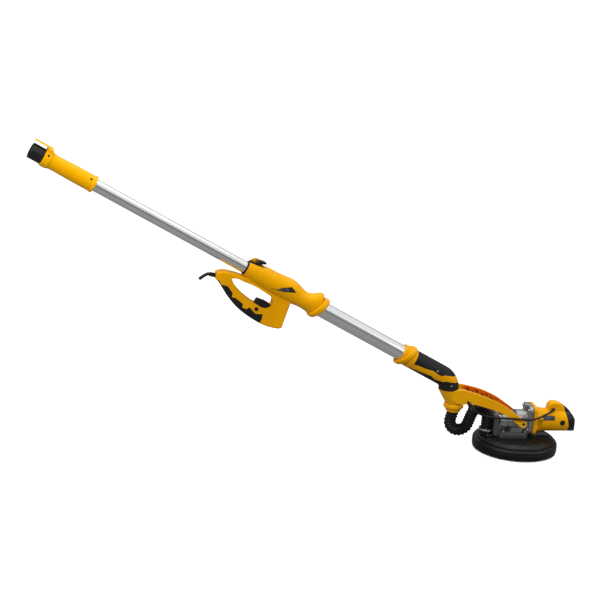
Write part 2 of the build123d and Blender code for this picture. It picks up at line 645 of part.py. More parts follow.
def make_inlet_collar():
    """The turned collar that joins the hose to the foot."""
    collar = turned_z([(HOSE_R + 0.1, 113.2), (20.6, 113.2), (21.4, 115), (21.6, 121.5),
                       (26.0, 122.5), (28.6, 125.5), (29.2, 129.5), (28.2, 133.6),
                       (25.6, 136.4), (24.55, 136.9), (21.2, 136.9), (21.2, 133),
                       (HOSE_R + 0.1, 131)])
    return Pos(FOOT_LOW_X, 0, 0) * collar


def make_tilt_pin(side):
    outer_y = ARM_OUT - 0.5
    pin = rod(TILT_PIN_R, (TILT_X, side * 36.0, TILT_Z), (0, side, 0), outer_y - 36.0)
    return pin - hexagon(2.6, (TILT_X, side * outer_y, TILT_Z), (0, -side, 0), 3.5)


put("fork_left", make_fork_half(1))
put("fork_right", make_fork_half(-1))
put("inlet_collar", make_inlet_collar())
pins = [make_tilt_pin(side) for side in SIDES]
washers = [pipe(8.0, TILT_PIN_R, (TILT_X, side * 41.55, TILT_Z), (0, side, 0), 1.4)
           for side in SIDES]
put("pivot_pins", *pins, *washers, clamp_pin)

# ---- gimbal yoke: a U between the fork and the head ------------------------------------------
# x, y
YOKE_PLAN = [(-59.5, -34), (-52, -41.5), (14, -41.5), (14, -35.5), (-45, -35.5), (-47.5, -33),
             (-47.5, 33), (-45, 35.5), (14, 35.5), (14, 41.5), (-52, 41.5), (-59.5, 34)]
# x, z
YOKE_SIDE = [(-60, 82), (-20, 82), (-2, 80.5), (10, 80.5), (14, 84), (14, 96), (10, 99.5),
             (-2, 99.5), (-20, 98), (-60, 98)]
ROLL_PIN_R, ROLL_PIN_X = 5.0, -71


def make_yoke():
    yoke = Pos(0, 0, 82) * extrude(poly(YOKE_PLAN), amount=16)
    yoke &= slab(poly(YOKE_SIDE), CUT_HALF) + block(-60, -46, -60, 60, 80, 100)
    yoke = soften(yoke, yoke.edges().filter_by(Axis.Z), 2.2, 1.0)
    yoke += rod(11.0, (-59.5, 0, TILT_Z), X_DIR, 12)
    yoke -= rod(ROLL_PIN_R + RUNNING_GAP, (-65, 0, TILT_Z), X_DIR, 25)
    yoke -= rod(TILT_PIN_R + RUNNING_GAP, (TILT_X, -60, TILT_Z), Y_DIR, 120)
    for side in SIDES:
        yoke -= block_on(side, -44, -8, 38.6, 50, 85.5, 94.5)
    return yoke


put("gimbal_yoke", make_yoke())
roll_pin = rod(ROLL_PIN_R, (ROLL_PIN_X, 0, TILT_Z), X_DIR, 30.5)
put("roll_pin", roll_pin - hexagon(2.6, (ROLL_PIN_X, 0, TILT_Z), X_DIR, 3))

# ==============================================================================================
# Gearbox
# ==============================================================================================
BASE_X, BASE_LENGTH, BASE_WIDTH, BASE_CORNER = -16.9, 85, 82, 12
SEAT_Z = 44.05                                                       # just clear of the shroud
BASE_BOLTS = [(-48, 33), (-48, -33), (17, 33), (17, -33)]            # x, y
FLANGE_BOLTS = [(29.5, 66.0), (-29.5, 66.0), (26.5, 123.5), (-26.5, 123.5)]    # y, z


def flange_plate(x0, x1):
    """A slice of the motor flange outline, square to X."""
    bottom, top = 49.5, 134
    plane = Plane(origin=(x0, 0, (bottom + top) / 2), x_dir=Y_DIR, z_dir=X_DIR)
    return extrude(plane * RectangleRounded(68, top - bottom, 14), amount=x1 - x0)


def make_gearbox_base():
    base = Pos(BASE_X, 0, SEAT_Z) * extrude(
        RectangleRounded(BASE_LENGTH, BASE_WIDTH, BASE_CORNER), amount=13.95)
    base = soften(base, base.edges().group_by(Axis.Z)[-1], 2.5, 1.5)
    for x, y in BASE_BOLTS:
        base += rod(8.0, (x, y, 50), Z_DIR, 11.5)
    # ribbed posts and cross wall that carry the roll pin
    for side in SIDES:
        post = block_on(side, -71, -61.4, 14, 29, 50, 104)
        inner_rib = block_on(side, -75.5, -60.8, 19, 22, 50, 106)
        outer_rib = block_on(side, -75.5, -60.8, 26, 29, 50, 106)
        base += post + inner_rib + outer_rib
    base += block(-71, -61.4, -16, 16, 80, 101)
    base += block(-71, -55, -29, 29, 46, 57.9)
    base -= rod(HOSE_R + 5.2, (PORT_X, 0, 43), Z_DIR, 36)
    base -= rod(ROLL_PIN_R, (-80, 0, TILT_Z), X_DIR, 22)
    # gear well, bearing seat and spindle bore
    base -= rod(26.5, (0, 0, 49.5), Z_DIR, 20)
    base -= rod(16.0, (0, 0, 46), Z_DIR, 5)
    base -= rod(10.0, (0, 0, 40), Z_DIR, 20)
    for x, y in BASE_BOLTS:
        base -= rod(2.6, (x, y, 44.5), Z_DIR, 20)
    return base


def make_gearbox_housing():
    gear = rod(30.0, (0, 0, 58.0), Z_DIR, 50)
    gear = soften(gear, gear.edges().group_by(Axis.Z)[-1], 6.0, 3.0)
    gear += rod(29.0, (-8, 0, MOTOR_Z), X_DIR, 33)
    gear += flange_plate(26, 37)
    lug = block(18.5, 30, -9, 9, 116, 134)
    gear += soften(lug, lug.edges().filter_by(Axis.Y), 2.0)
    # feet, cheeks and four ribs on each flank
    for side in SIDES:
        gear += block_on(side, -26, 27, 22, 31.5, 58.0, 66)
        gear += block_on(side, -4, 27, 24, 31, 60, 104)
        for z in (72, 80, 88, 96):
            gear += block_on(side, -22, 27, 20, 32.2, z, z + 2.6)
    gear += rod(11.5, (-46, 0, MOTOR_Z + 1), X_DIR, 20)
    gear += block(-46, -20, -3, 3, 60, 88)
    # gear chamber, armature way, bearing seat and roll pin bore
    gear -= rod(25.4, (0, 0, 57), Z_DIR, 47)
    gear -= rod(20.0, (0, 0, MOTOR_Z), X_DIR, 26)
    gear -= rod(11.05, (20, 0, MOTOR_Z), X_DIR, 20)
    gear -= rod(ROLL_PIN_R, (-50, 0, TILT_Z), X_DIR, 40)
    gear -= block(-60, -40.4, -40, 40, 40, 58)
    for x, y in BASE_BOLTS:
        gear -= rod(8.4, (x, y, 40), Z_DIR, 28.5)
    for y, z in FLANGE_BOLTS:
        gear -= rod(2.5, (20, y, z), X_DIR, 30)
    gear = largest(gear)
    # room for the flange bolt heads
    for y, z in FLANGE_BOLTS:
        gear -= rod(4.2, (14, y, z), X_DIR, 12)
    return largest(gear)


def make_gasket():
    gasket = flange_plate(37, 39.4) - rod(29.0, (30, 0, MOTOR_Z), X_DIR, 20)
    for y, z in FLANGE_BOLTS:
        gasket -= rod(2.6, (20, y, z), X_DIR, 30)
    return gasket


gearbox_base = make_gearbox_base()
put("gearbox_base", largest(gearbox_base))
put("flange_gasket", make_gasket())
put("gearbox_housing", make_gearbox_housing())

# ==============================================================================================
# Motor
# ==============================================================================================
# x, z
HUMP_TOP = [(84, 112), (86.5, 127), (90, 138), (97, 143.5), (108, 144.2), (120, 141.6),
            (131, 135.5), (140, 129.5), (147, 124.5)]
HUMP_HOLLOW = [(92, 112), (97, 134), (118, 134), (140, 122), (147.5, 117), (147.5, 105),
               (92, 105)]
CAP_JOINT = [(129.9, 146), (175, 146), (175, 48), (155.3, 48)]
CAP_SIDE = [(133.1, 134.4), (140, 129.5), (147, 124.4), (151, 121), (158.5, 110.5),
            (167, 95.5), (173.4, 83), (173.6, 71), (171.5, 61.5), (167, 57.0), (160, 55.4),
            (153.6, 55.4)]
CAP_HOLLOW = [(136, 110), (146, 110), (154, 103), (162.5, 88), (162.5, 61), (150, 61)]
CAP_SLOT = [(141, 145), (162, 118), (176, 98), (182, 84), (182, 50), (171, 50), (169.4, 60.5),
            (170.8, 71), (170.6, 81.6), (164.8, 92.8), (156.4, 107.4), (149.3, 117.2),
            (141.5, 124)]
CREST_HALF = 15.5
LABEL_X0, LABEL_X1, LABEL_Z0, LABEL_Z1 = 68, 104, 95.5, 108.5
LABEL_DEPTH, LABEL_GAP = 1.2, 0.4
BRUSH_X = 127.0
GLAND = Vector(102, -13.0, 124.5)
GLAND_DIR = Vector(-0.45, -0.85, -0.15).normalized()


def make_motor_housing():
    hump = slab(make_face(Spline(*HUMP_TOP)
                          + Line((147, 124.5), (147, 100))
                          + Line((147, 100), (84, 100))
                          + Line((84, 100), (84, 112))), CREST_HALF)
    hump_rims = [e for e in hump.edges()
                 if abs(abs(e.center().Y) - CREST_HALF) < 0.2 and e.center().Z > 118]
    hump = soften(hump, hump_rims, 6.0, 4.0, 2.5)
    shoulder = turned_x([(0, 0), (0, 40), (5, 39), (12, 36.5), (22, 34.4), (32, MOTOR_R),
                         (32, 0)])
    shoulder = Pos(47, 0, MOTOR_Z) * shoulder & flange_plate(46, 90)
    can = rod(MOTOR_R, (46, 0, MOTOR_Z), X_DIR, 101)
    motor = can + hump + flange_plate(39.4, 49) + shoulder
    motor -= slab(poly(CAP_JOINT), CUT_HALF)
    motor -= rod(MOTOR_BORE_R, (39, 0, MOTOR_Z), X_DIR, 108.5)
    motor -= slab(poly(HUMP_HOLLOW), 10.5)
    for y, z in FLANGE_BOLTS:
        motor -= rod(2.4, (30, y, z), X_DIR, 15.2)
    # label recess on each flank
    motor -= (block(LABEL_X0, LABEL_X1, -45, 45, LABEL_Z0, LABEL_Z1)
              & pipe(MOTOR_R + 5, MOTOR_R - LABEL_DEPTH, (60, 0, MOTOR_Z), X_DIR, 50))
    for side in SIDES:
        motor -= rod(7.9, (BRUSH_X, side * 20, MOTOR_Z), (0, side, 0), 30)
        motor += pipe(9.6, 7.9, (BRUSH_X, side * 29.6, MOTOR_Z), (0, side, 0), 3.7)
    motor -= rod(3.5, GLAND + GLAND_DIR * -8, GLAND_DIR, 30)
    # five vents on each flank
    for i in range(5):
        rise = 5.2 * i
        for side in SIDES:
            motor -= block_on(side, 53, 67, 20, 60, MOTOR_Z - 15 + rise, MOTOR_Z - 12.6 + rise)
    return largest(motor)


def make_label():
    return (block(LABEL_X0 + LABEL_GAP, LABEL_X1 - LABEL_GAP, -45, 45,
                  LABEL_Z0 + LABEL_GAP, LABEL_Z1 - LABEL_GAP)
            & pipe(MOTOR_R - 0.3, MOTOR_R - LABEL_DEPTH, (60, 0, MOTOR_Z), X_DIR, 50))


def make_end_cap():
    crest = block(128, 180, -CREST_HALF, CREST_HALF, 100, 145)
    crest = soften(crest, crest.edges().filter_by(Axis.X), 5.0)
    cap = ((rod(MOTOR_R, (128, 0, MOTOR_Z), X_DIR, 50) + crest)
           & slab(poly(CAP_SIDE), CUT_HALF) & rod(52.0, (121.6, 0, 40), Z_DIR, 120))
    end_edges = [e for e in cap.edges() if e.center().X > 156 and e.length > 8]
    cap = soften(cap, end_edges, 2.0, 1.0, 0.6)
    cap -= (rod(MOTOR_BORE_R, (128, 0, MOTOR_Z), X_DIR, 35)
            & slab(poly(CAP_HOLLOW), CUT_HALF))
    for i in range(-4, 5):
        y = 6.4 * i
        cap -= slab_between(poly(CAP_SLOT), y - 1.3, y + 1.3)
    cap -= rod(8.0, (140, 0, MOTOR_Z), X_DIR, 18)
    return largest(cap)


def make_stator():
    stator = pipe(MOTOR_BORE_R, 18.4, (64, 0, MOTOR_Z), X_DIR, 42)
    stator -= block(60, 110, -2, 2, MOTOR_Z + 18, MOTOR_Z + 24)
    return stator - block(60, 110, -2, 2, MOTOR_Z - 24, MOTOR_Z - 18)


def make_brush_cap(side):
    cap = rod(7.8, (BRUSH_X, side * 28.4, MOTOR_Z), (0, side, 0), 5.4)
    return cap - block_on(side, BRUSH_X - 6, BRUSH_X + 6, 32.4, 40, MOTOR_Z - 0.9, MOTOR_Z + 0.9)


def make_armature():
    armature = rod(4.0, (25.2, 0, MOTOR_Z), X_DIR, 123.0)
    # stepped shaft ends, core, commutator and winding ends: radius, x, length
    for radius, x, length in ((3.5, 148.2, 6.5), (2.0, 19.0, 6.2), (17.9, 64, 42),
                              (12.0, 119, 16), (15.5, 106, 7), (15.5, 58, 6)):
        armature += rod(radius, (x, 0, MOTOR_Z), X_DIR, length)
    for i in range(12):
        angle = 2 * pi * i / 12
        start = (63, 17.9 * cos(angle), MOTOR_Z + 17.9 * sin(angle))
        armature -= rod(1.4, start, X_DIR, 44)
    return armature


def make_fan():
    fan = pipe(9.0, 4.0, (41.5, 0, MOTOR_Z), X_DIR, 14)
    fan += pipe(28.2, 8.5, (41.5, 0, MOTOR_Z), X_DIR, 1.8)
    blade = block(42.5, 54.5, -1.0, 1.0, 8.6, 27.6)
    for i in range(11):
        fan += Pos(0, 0, MOTOR_Z) * (Rot(360 / 11 * i, 0, 0) * blade)
    return fan


put("motor_housing", make_motor_housing())
put("motor_label", make_label())
put("motor_end_cap", make_end_cap())
put("stator", make_stator())
put("carbon_brushes", *[block_on(side, BRUSH_X - 3, BRUSH_X + 3, 12.1, 27,
                                 MOTOR_Z - 4, MOTOR_Z + 4) for side in SIDES])
put("brush_caps", *[make_brush_cap(side) for side in SIDES])
# two on the armature, two on the spindle
put("bearings",
    pipe(11.0, 4.02, (27.5, 0, MOTOR_Z), X_DIR, 7),
    pipe(8.0, 3.52, (148.5, 0, MOTOR_Z), X_DIR, 6),
    pipe(15.9, 6.02, (0, 0, 50.2), Z_DIR, 8),
    pipe(13.0, 6.02, (0, 0, 96), Z_DIR, 7))
put("armature", make_armature())
put("cooling_fan", make_fan())

# ---- gears and spindle -----------------------------------------------------------------------
PINION_PITCH_R = GEAR_MODULE * PINION_TEETH / 2
PINION_X = 18.9
CROWN_PITCH_Z = MOTOR_Z - PINION_PITCH_R


def pinion_tooth(angle):
    root, pitch, tip = 0.95, 0.58, 0.24      # half widths
    tip_r = PINION_PITCH_R + 0.92
    face = poly([(-root, 2.3), (-root, 2.95), (-pitch, PINION_PITCH_R), (-tip, tip_r),
                 (tip, tip_r), (pitch, PINION_PITCH_R), (root, 2.95), (root, 2.3)])
    plane = Plane(origin=(PINION_X, 0, 0), x_dir=Y_DIR, z_dir=X_DIR)
    return Rot(angle, 0, 0) * extrude(plane * face, amount=4.6)


def make_pinion():
    pinion = pipe(2.95, 2.0, (PINION_X, 0, 0), X_DIR, 6.3)
    for i in range(PINION_TEETH):
        pinion += pinion_tooth(180 + 360 / PINION_TEETH * i)
    return Pos(0, 0, MOTOR_Z) * pinion


def crown_tooth_section(radius):
    pitch = pi * GEAR_MODULE * radius / MESH_R / 2 / 2 - 0.16      # half widths
    root, tip, z = pitch + 0.34, pitch - 0.36, CROWN_PITCH_Z
    face = poly([(-root, z - 1.9), (-root, z - 1.4), (-pitch, z), (-tip, z + 0.85),
                 (tip, z + 0.85), (pitch, z), (root, z - 1.4), (root, z - 1.9)])
    return Plane(origin=(radius, 0, 0), x_dir=Y_DIR, z_dir=X_DIR) * face


def crown_tooth(angle):
    sections = [crown_tooth_section(18.7), crown_tooth_section(23.7)]
    return Rot(0, 0, angle) * loft(sections, ruled=True)


def make_crown_gear():
    z = CROWN_PITCH_Z
    crown = turned_z([(6.0, 76.0), (12.0, 76.0), (12.0, 78.4), (24.2, 78.4), (24.2, z - 1.45),
                      (17.6, z - 1.45), (12.5, z - 2.2), (10.5, 86.0), (6.0, 86.0)])
    return crown + [crown_tooth(360 / CROWN_TEETH * (i + 0.5)) for i in range(CROWN_TEETH)]


put("bevel_pinion", make_pinion())
put("crown_gear", make_crown_gear())
spindle = rod(6.0, (0, 0, 17.0), Z_DIR, 86.5) + rod(8.6, (0, 0, 17.0), Z_DIR, 28)
put("spindle", spindle - rod(2.6, (0, 0, 16), Z_DIR, 16))

# ==============================================================================================
# Shroud, hose port, hose and cable
# ==============================================================================================
PORT_SCREWS = [(-91.5, 27.5), (-81.5, 27.5), (-91.5, -27.5), (-81.5, -27.5)]      # x, y
SHROUD_RIBS = 14


def make_shroud():
    shroud = turned_z([(10.6, 41.0), (96, 41.0), (99, 37.5), (103, 34.0), (110.3, 34.0),
                       (110.3, 25.5), (113.3, 25.5), (113.3, 35.0), (111.8, 37.4),
                       (101.5, 42.6), (97.0, 44.0), (10.6, 44.0)])
    shroud -= rod(14.0, (PORT_X + 3, 0, 30), Z_DIR, 30)
    angles = [360 / SHROUD_RIBS * (i + 0.5) for i in range(SHROUD_RIBS)]
    # the ribs next to the hose port are left out
    shroud = shroud + [Rot(0, 0, angle) * block(62, 97, -1.6, 1.6, 43.5, 45.4)
                       for angle in angles if abs(angle - 180) >= 30]
    shroud -= Pos(BASE_X, 0, 44.0) * extrude(
        RectangleRounded(BASE_LENGTH + 1, BASE_WIDTH + 1, BASE_CORNER), amount=5)
    return largest(shroud)


def make_hose_port():
    port = Pos(-86.5, 0, SEAT_Z) * extrude(RectangleRounded(21, 66, 5), amount=4.2)
    port += rod(HOSE_R + 4.2, (PORT_X, 0, SEAT_Z), Z_DIR, 20)
    port &= block(-140, -60.6, -60, 60, 40, 80)
    port -= rod(HOSE_R + 0.1, (PORT_X, 0, 49), Z_DIR, 30)
    port -= rod(13.0, (PORT_X, 0, 40), Z_DIR, 30)
    port -= block(-76.0, -50, -60, -19, 40, 80) + block(-76.0, -50, 19, 60, 40, 80)
    port -= gearbox_base
    for x, y in PORT_SCREWS:
        port -= rod(1.4, (x, y, 40), Z_DIR, 12)
    return largest(port)


def make_head_screws():
    """Base bolts, motor flange bolts and port screws."""
    down = (0, 0, -1)
    return ([socket_screw(4.4, 4.2, 2.5, 16, (x, y, 65.7), down) for x, y in BASE_BOLTS]
            + [socket_screw(4.0, 4.0, 2.4, 19, (22, y, z), X_DIR) for y, z in FLANGE_BOLTS]
            + [socket_screw(2.8, 2.2, 1.4, 3.6, (x, y, 50.46), down) for x, y in PORT_SCREWS])


def make_hose():
    """Down from the foot, up behind the skirt and over into the port.

    The two big bends turn opposite ways and are joined by their cross tangent.
    """
    low_bend, low_r = Vector(-173, 0, 82), 27.0
    high_bend, high_r = Vector(-114, 0, 95), 25.0
    gap = high_bend - low_bend
    run = sqrt(gap.length ** 2 - (low_r + high_r) ** 2)
    heading = atan2(gap.Z, gap.X) + atan2(low_r + high_r, run)
    across = Vector(-sin(heading), 0, cos(heading))
    leave, meet = low_bend - across * low_r, high_bend + across * high_r
    top = (FOOT_LOW_X, 0, 130)
    path = Line(top, (FOOT_LOW_X, 0, 114))
    path = path + TangentArc((FOOT_LOW_X, 0, 114), (-197, 0, 98), tangent=(0, 0, -1))
    path = path + TangentArc((-200, 0, 82), (-197, 0, 98), tangent=Z_DIR)
    path = path + ThreePointArc((-200, 0, 82), low_bend - Vector(0, 0, low_r), leave)
    path = path + Line(leave, meet)
    path = path + ThreePointArc(meet, high_bend + Vector(0, 0, high_r),
                                (PORT_X, 0, high_bend.Z))
    path = path + Line((PORT_X, 0, high_bend.Z), (PORT_X, 0, 49.5))
    ring = Circle(HOSE_R) - Circle(HOSE_BORE_R)
    return largest(sweep(Plane(origin=top, x_dir=Y_DIR, z_dir=(0, 0, -1)) * ring, path))


def make_hose_clamp():
    band = pipe(HOSE_R + 5.4, HOSE_R + 4.2, (PORT_X, 0, 57.5), Z_DIR, 5.5)
    band -= gearbox_base
    band -= block(-72.5, -50, -40, 40, 40, 90)
    band += block(PORT_X - 3.5, PORT_X + 3.5, -HOSE_R - 9.4, -HOSE_R - 5.0, 57.5, 63)
    return largest(band)


def make_head_cable():
    """The cable from the fork to the motor, with its gland."""
    gland = (rod(3.45, GLAND + GLAND_DIR * -6, GLAND_DIR, 12.5)
             + rod(4.8, GLAND + GLAND_DIR * 5.8, GLAND_DIR, 2.6))
    ends = [tuple(GLAND + GLAND_DIR * 9), tuple(GLAND + GLAND_DIR * -5)]
    path = Spline(*CABLE_POINTS, *ends)
    cable = sweep(Plane(origin=path @ 0, z_dir=path % 0) * Circle(CABLE_R), path)
    return (cable + gland).solids()[0]


put("shroud_cover", make_shroud())
put("hose_port", make_hose_port())
put("head_screws", *make_head_screws())
put("suction_hose", make_hose())
put("hose_clamp", make_hose_clamp())
put("head_cable", make_head_cable())

# ==============================================================================================
# Floating skirt and pad
# ==============================================================================================
SPRING_ANGLES = (30, 150, 270)
SPRING_CIRCLE_R = 106.6
PAD_HOLES, PAD_HOLE_R, PAD_HOLE_CIRCLE_R = 8, 7.0, 82


def make_spring(angle):
    coil_r, wire_r, bottom, top, turns = 2.6, 0.5, 22.05, 33.95, 4
    height = top - bottom - 2 * wire_r
    path = Helix(pitch=height / turns, height=height, radius=coil_r)
    path = Pos(SPRING_CIRCLE_R * cos(radians(angle)), SPRING_CIRCLE_R * sin(radians(angle)),
               bottom + wire_r) * path
    return sweep(Plane(origin=path @ 0, z_dir=path % 0) * Circle(wire_r), path)


def make_skirt():
    """The ring, with an inward tab under each spring."""
    skirt = turned_z([(SKIRT_INNER_R, BRISTLE_TOP + 0.02), (121.0, BRISTLE_TOP + 0.02),
                      (SKIRT_R, 8.0), (SKIRT_R, 19.0), (121.2, 19.8), (121.2, 21.2),
                      (SKIRT_R, 22.0), (121.7, 26.0), (120.2, 28.8), (117.0, 31.6),
                      (SKIRT_INNER_R, 32.2)])
    return skirt + [Rot(0, 0, angle) * block(102.2, 114.5, -5, 5, 19.0, 22.0)
                    for angle in SPRING_ANGLES]


def with_holes(shape, bottom, height):
    """Cuts the ring of dust holes through a pad layer."""
    for i in range(PAD_HOLES):
        angle = radians(22.5 + 360 / PAD_HOLES * i)
        start = (PAD_HOLE_CIRCLE_R * cos(angle), PAD_HOLE_CIRCLE_R * sin(angle), bottom - 1)
        shape -= rod(PAD_HOLE_R, start, Z_DIR, height + 2)
    return shape


def make_foam():
    foam = turned_z([(16.0, 1.2), (111.6, 1.2), (111.2, 4.0), (109.2, 12.0), (16.0, 12.0)])
    return with_holes(foam, 1.2, 11)


def make_pad_plate():
    plate = turned_z([(2.75, 12.0), (105.5, 12.0), (106.0, 13.0), (104.0, 15.0), (40, 15.6),
                      (22, 17.0), (2.75, 17.0)])
    plate = with_holes(plate, 12, 5)
    # a ring below, round the bolt head, and one above, round the spindle
    plate += turned_z([(9.0, 3.4), (15.6, 3.4), (15.6, 12.0), (9.0, 12.0)])
    plate += turned_z([(8.65, 17.0), (14, 17.0), (14, 20.0), (8.65, 20.0)])
    return plate


def make_pad_bolt():
    bolt = rod(8.4, (0, 0, 8.0), Z_DIR, 4.0) + rod(2.55, (0, 0, 12.0), Z_DIR, 18)
    return bolt - hexagon(4, (0, 0, 8), Z_DIR, 2.4)


put("skirt_springs", *[make_spring(angle) for angle in SPRING_ANGLES])
put("skirt_ring", make_skirt())
put("skirt_bristles", turned_z([(114.6, 0.0), (121.0, 0.0), (120.6, BRISTLE_TOP),
                                (114.2, BRISTLE_TOP)]))
put("sanding_disc", with_holes(rod(DISC_R, (0, 0, 0), Z_DIR, 1.2), 0, 1.2))
put("pad_foam", make_foam())
put("pad_plate", make_pad_plate())
put("pad_bolt", make_pad_bolt())
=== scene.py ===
# A long-reach disc sander in metres: its head lies round the Z axis, just above a floor near z = 0,
# and its pole rises towards -X. A ribbed hose and a cable join the fork to the head.
import json
import math
import random

import bmesh
import bpy
from mathutils import Matrix, Vector


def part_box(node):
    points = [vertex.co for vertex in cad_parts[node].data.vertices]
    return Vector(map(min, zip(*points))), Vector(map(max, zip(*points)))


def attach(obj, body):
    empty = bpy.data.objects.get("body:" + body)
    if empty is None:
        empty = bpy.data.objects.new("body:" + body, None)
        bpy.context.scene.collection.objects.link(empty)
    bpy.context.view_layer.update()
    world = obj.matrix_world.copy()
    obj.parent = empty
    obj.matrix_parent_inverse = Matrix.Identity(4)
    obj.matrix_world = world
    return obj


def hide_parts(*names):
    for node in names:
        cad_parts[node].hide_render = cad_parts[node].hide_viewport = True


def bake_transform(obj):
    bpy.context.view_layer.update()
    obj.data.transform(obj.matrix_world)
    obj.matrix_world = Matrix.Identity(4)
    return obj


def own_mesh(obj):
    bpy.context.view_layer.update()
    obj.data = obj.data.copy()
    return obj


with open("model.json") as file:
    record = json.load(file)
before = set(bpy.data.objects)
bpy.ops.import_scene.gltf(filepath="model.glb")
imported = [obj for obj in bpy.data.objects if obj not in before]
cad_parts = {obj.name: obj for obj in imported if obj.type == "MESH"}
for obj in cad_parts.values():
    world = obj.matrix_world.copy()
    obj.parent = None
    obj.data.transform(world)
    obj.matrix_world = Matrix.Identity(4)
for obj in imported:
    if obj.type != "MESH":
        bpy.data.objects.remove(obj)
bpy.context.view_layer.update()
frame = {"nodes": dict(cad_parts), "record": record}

scene = bpy.context.scene
random.seed(7)

MM = 0.001
SLOPE = math.radians(27.2)  # the pole's rise from the floor
POLE_DIRECTION = Vector((-math.cos(SLOPE), 0.0, math.sin(SLOPE)))
POLE_ORIGIN = Vector((0.0, 0.0, 0.097))
POLE_TURN = (0, -SLOPE, 0)  # turns object X onto the pole's line


# ---- node helpers ----
class Nodes:
    """An emptied node tree, and short ways to fill it."""

    def __init__(self, tree):
        self.tree = tree
        tree.nodes.clear()

    def link(self, output, socket):
        self.tree.links.new(output, socket)

    def feed(self, socket, value):
        """Link a socket to an output, or give it a plain value."""
        if isinstance(value, bpy.types.NodeSocket):
            self.link(value, socket)
        elif socket.type == "RGBA":
            socket.default_value = (*value, 1.0)
        else:
            socket.default_value = value

    def add(self, kind, inputs=None, **settings):
        node = self.tree.nodes.new(kind)
        for key, value in settings.items():
            setattr(node, key, value)
        for key, value in (inputs or {}).items():
            self.feed(node.inputs[key], value)
        return node


class Finish(Nodes):
    """A Principled material and the patterns the finishes are built from."""

    def __init__(self, name):
        self.material = bpy.data.materials.new(name)
        self.material.use_nodes = True
        super().__init__(self.material.node_tree)
        self.output = self.add("ShaderNodeOutputMaterial")
        self.bsdf = self.add("ShaderNodeBsdfPrincipled")
        self.link(self.bsdf.outputs[0], self.output.inputs["Surface"])
        self.coord = self.add("ShaderNodeTexCoord").outputs["Object"]

    def set(self, **values):
        for key, value in values.items():
            self.feed(self.bsdf.inputs[key.replace("_", " ")], value)

    def math(self, operation, *values, clamp=False):
        inputs = dict(enumerate(values))
        return self.add("ShaderNodeMath", inputs, operation=operation, use_clamp=clamp).outputs[0]

    def times(self, first, second, clamp=False):
        return self.math("MULTIPLY", first, second, clamp=clamp)

    def plus(self, first, second, clamp=False):
        return self.math("ADD", first, second, clamp=clamp)

    def remap(self, value, span, to=(0.0, 1.0)):
        """Map span onto to; a falling span inverts the value."""
        return self.add("ShaderNodeMapRange", dict(enumerate((value, *span, *to)))).outputs[0]

    def vary(self, noise, low, high):
        """A roughness that follows the middle of a noise from low to high."""
        return self.remap(noise, span=(0.3, 0.7), to=(low, high))

    def mix(self, factor, first, second):
        inputs = {0: factor, 6: first, 7: second}
        return self.add("ShaderNodeMix", inputs, data_type="RGBA").outputs[2]

    def toward(self, colour, target, mask, amount):
        """Shift colour towards target where the mask is set, by at most amount."""
        return self.mix(self.times(mask, amount), colour, target)

    def separate(self, vector):
        return self.add("ShaderNodeSeparateXYZ", {0: vector}).outputs

    def stretch(self, scale, turn):
        """Object coordinates turned first and stretched after."""
        turned = self.add("ShaderNodeMapping", {0: self.coord, "Rotation": turn}).outputs[0]
        return self.add("ShaderNodeMapping", {0: turned, "Scale": scale}).outputs[0]

    def noise(self, scale, detail=3.0, rough=0.55, at=None):
        return self.add("ShaderNodeTexNoise", {
            "Scale": scale, "Detail": detail, "Roughness": rough, "Vector": at or self.coord,
        }).outputs["Fac"]

    def clouds(self, base, deep):
        """Broad soft patches of two colours."""
        return self.mix(self.remap(self.noise(scale=9.0, detail=2.0), span=(0.35, 0.65)), base, deep)

    def cells(self, scale):
        inputs = {"Scale": scale, "Vector": self.coord}
        return self.add("ShaderNodeTexVoronoi", inputs).outputs["Distance"]

    def wave(self, scale, at, direction):
        inputs = {"Scale": scale, "Vector": at}
        return self.add("ShaderNodeTexWave", inputs, bands_direction=direction).outputs["Fac"]

    def bump(self, height, distance, strength=1.0, normal=None):
        inputs = {"Distance": distance, "Strength": strength, "Height": height}
        if normal is not None:
            inputs["Normal"] = normal
        return self.add("ShaderNodeBump", inputs).outputs[0]

    def rounded(self, radius):
        """Normals rounded at sharp edges."""
        return self.add("ShaderNodeBevel", {"Radius": radius}, samples=4).outputs[0]

    def edge_mask(self, rounded):
        """1 where the rounded normal leaves the true surface."""
        flat = self.add("ShaderNodeNewGeometry").outputs["Normal"]
        dot = self.add("ShaderNodeVectorMath", {0: rounded, 1: flat}, operation="DOT_PRODUCT")
        return self.remap(dot.outputs["Value"], span=(0.995, 0.82))

    def crevice(self, distance):
        # an ambient-occlusion mask, used to paint shade into crevices
        occlusion = self.add("ShaderNodeAmbientOcclusion", {"Distance": distance}, samples=4)
        return self.remap(occlusion.outputs["AO"], span=(0.75, 0.25))

    def band(self, value, low, high, soft):
        """1 between low and high, with soft limits."""
        return self.times(self.remap(value, span=(low - soft, low + soft)),
                          self.remap(value, span=(high + soft, high - soft)))

    def pole_box(self, along, across, inset=0.0):
        """1 inside a rectangle given along the pole and upwards across it."""
        soft = 0.0004
        turned = self.separate(self.stretch(scale=(1, 1, 1), turn=POLE_TURN))
        # turned x runs back down the pole, so it is subtracted
        s = self.math("SUBTRACT", POLE_ORIGIN.z * math.sin(-SLOPE), turned[0])
        t = self.math("SUBTRACT", turned[2], POLE_ORIGIN.z * math.cos(-SLOPE))
        return self.times(self.band(s, along[0] + inset, along[1] - inset, soft),
                          self.band(t, across[0] + inset, across[1] - inset, soft))


def scaled(colour, factor, lift=0.0):
    return tuple(min(1.0, c * factor + lift) for c in colour)


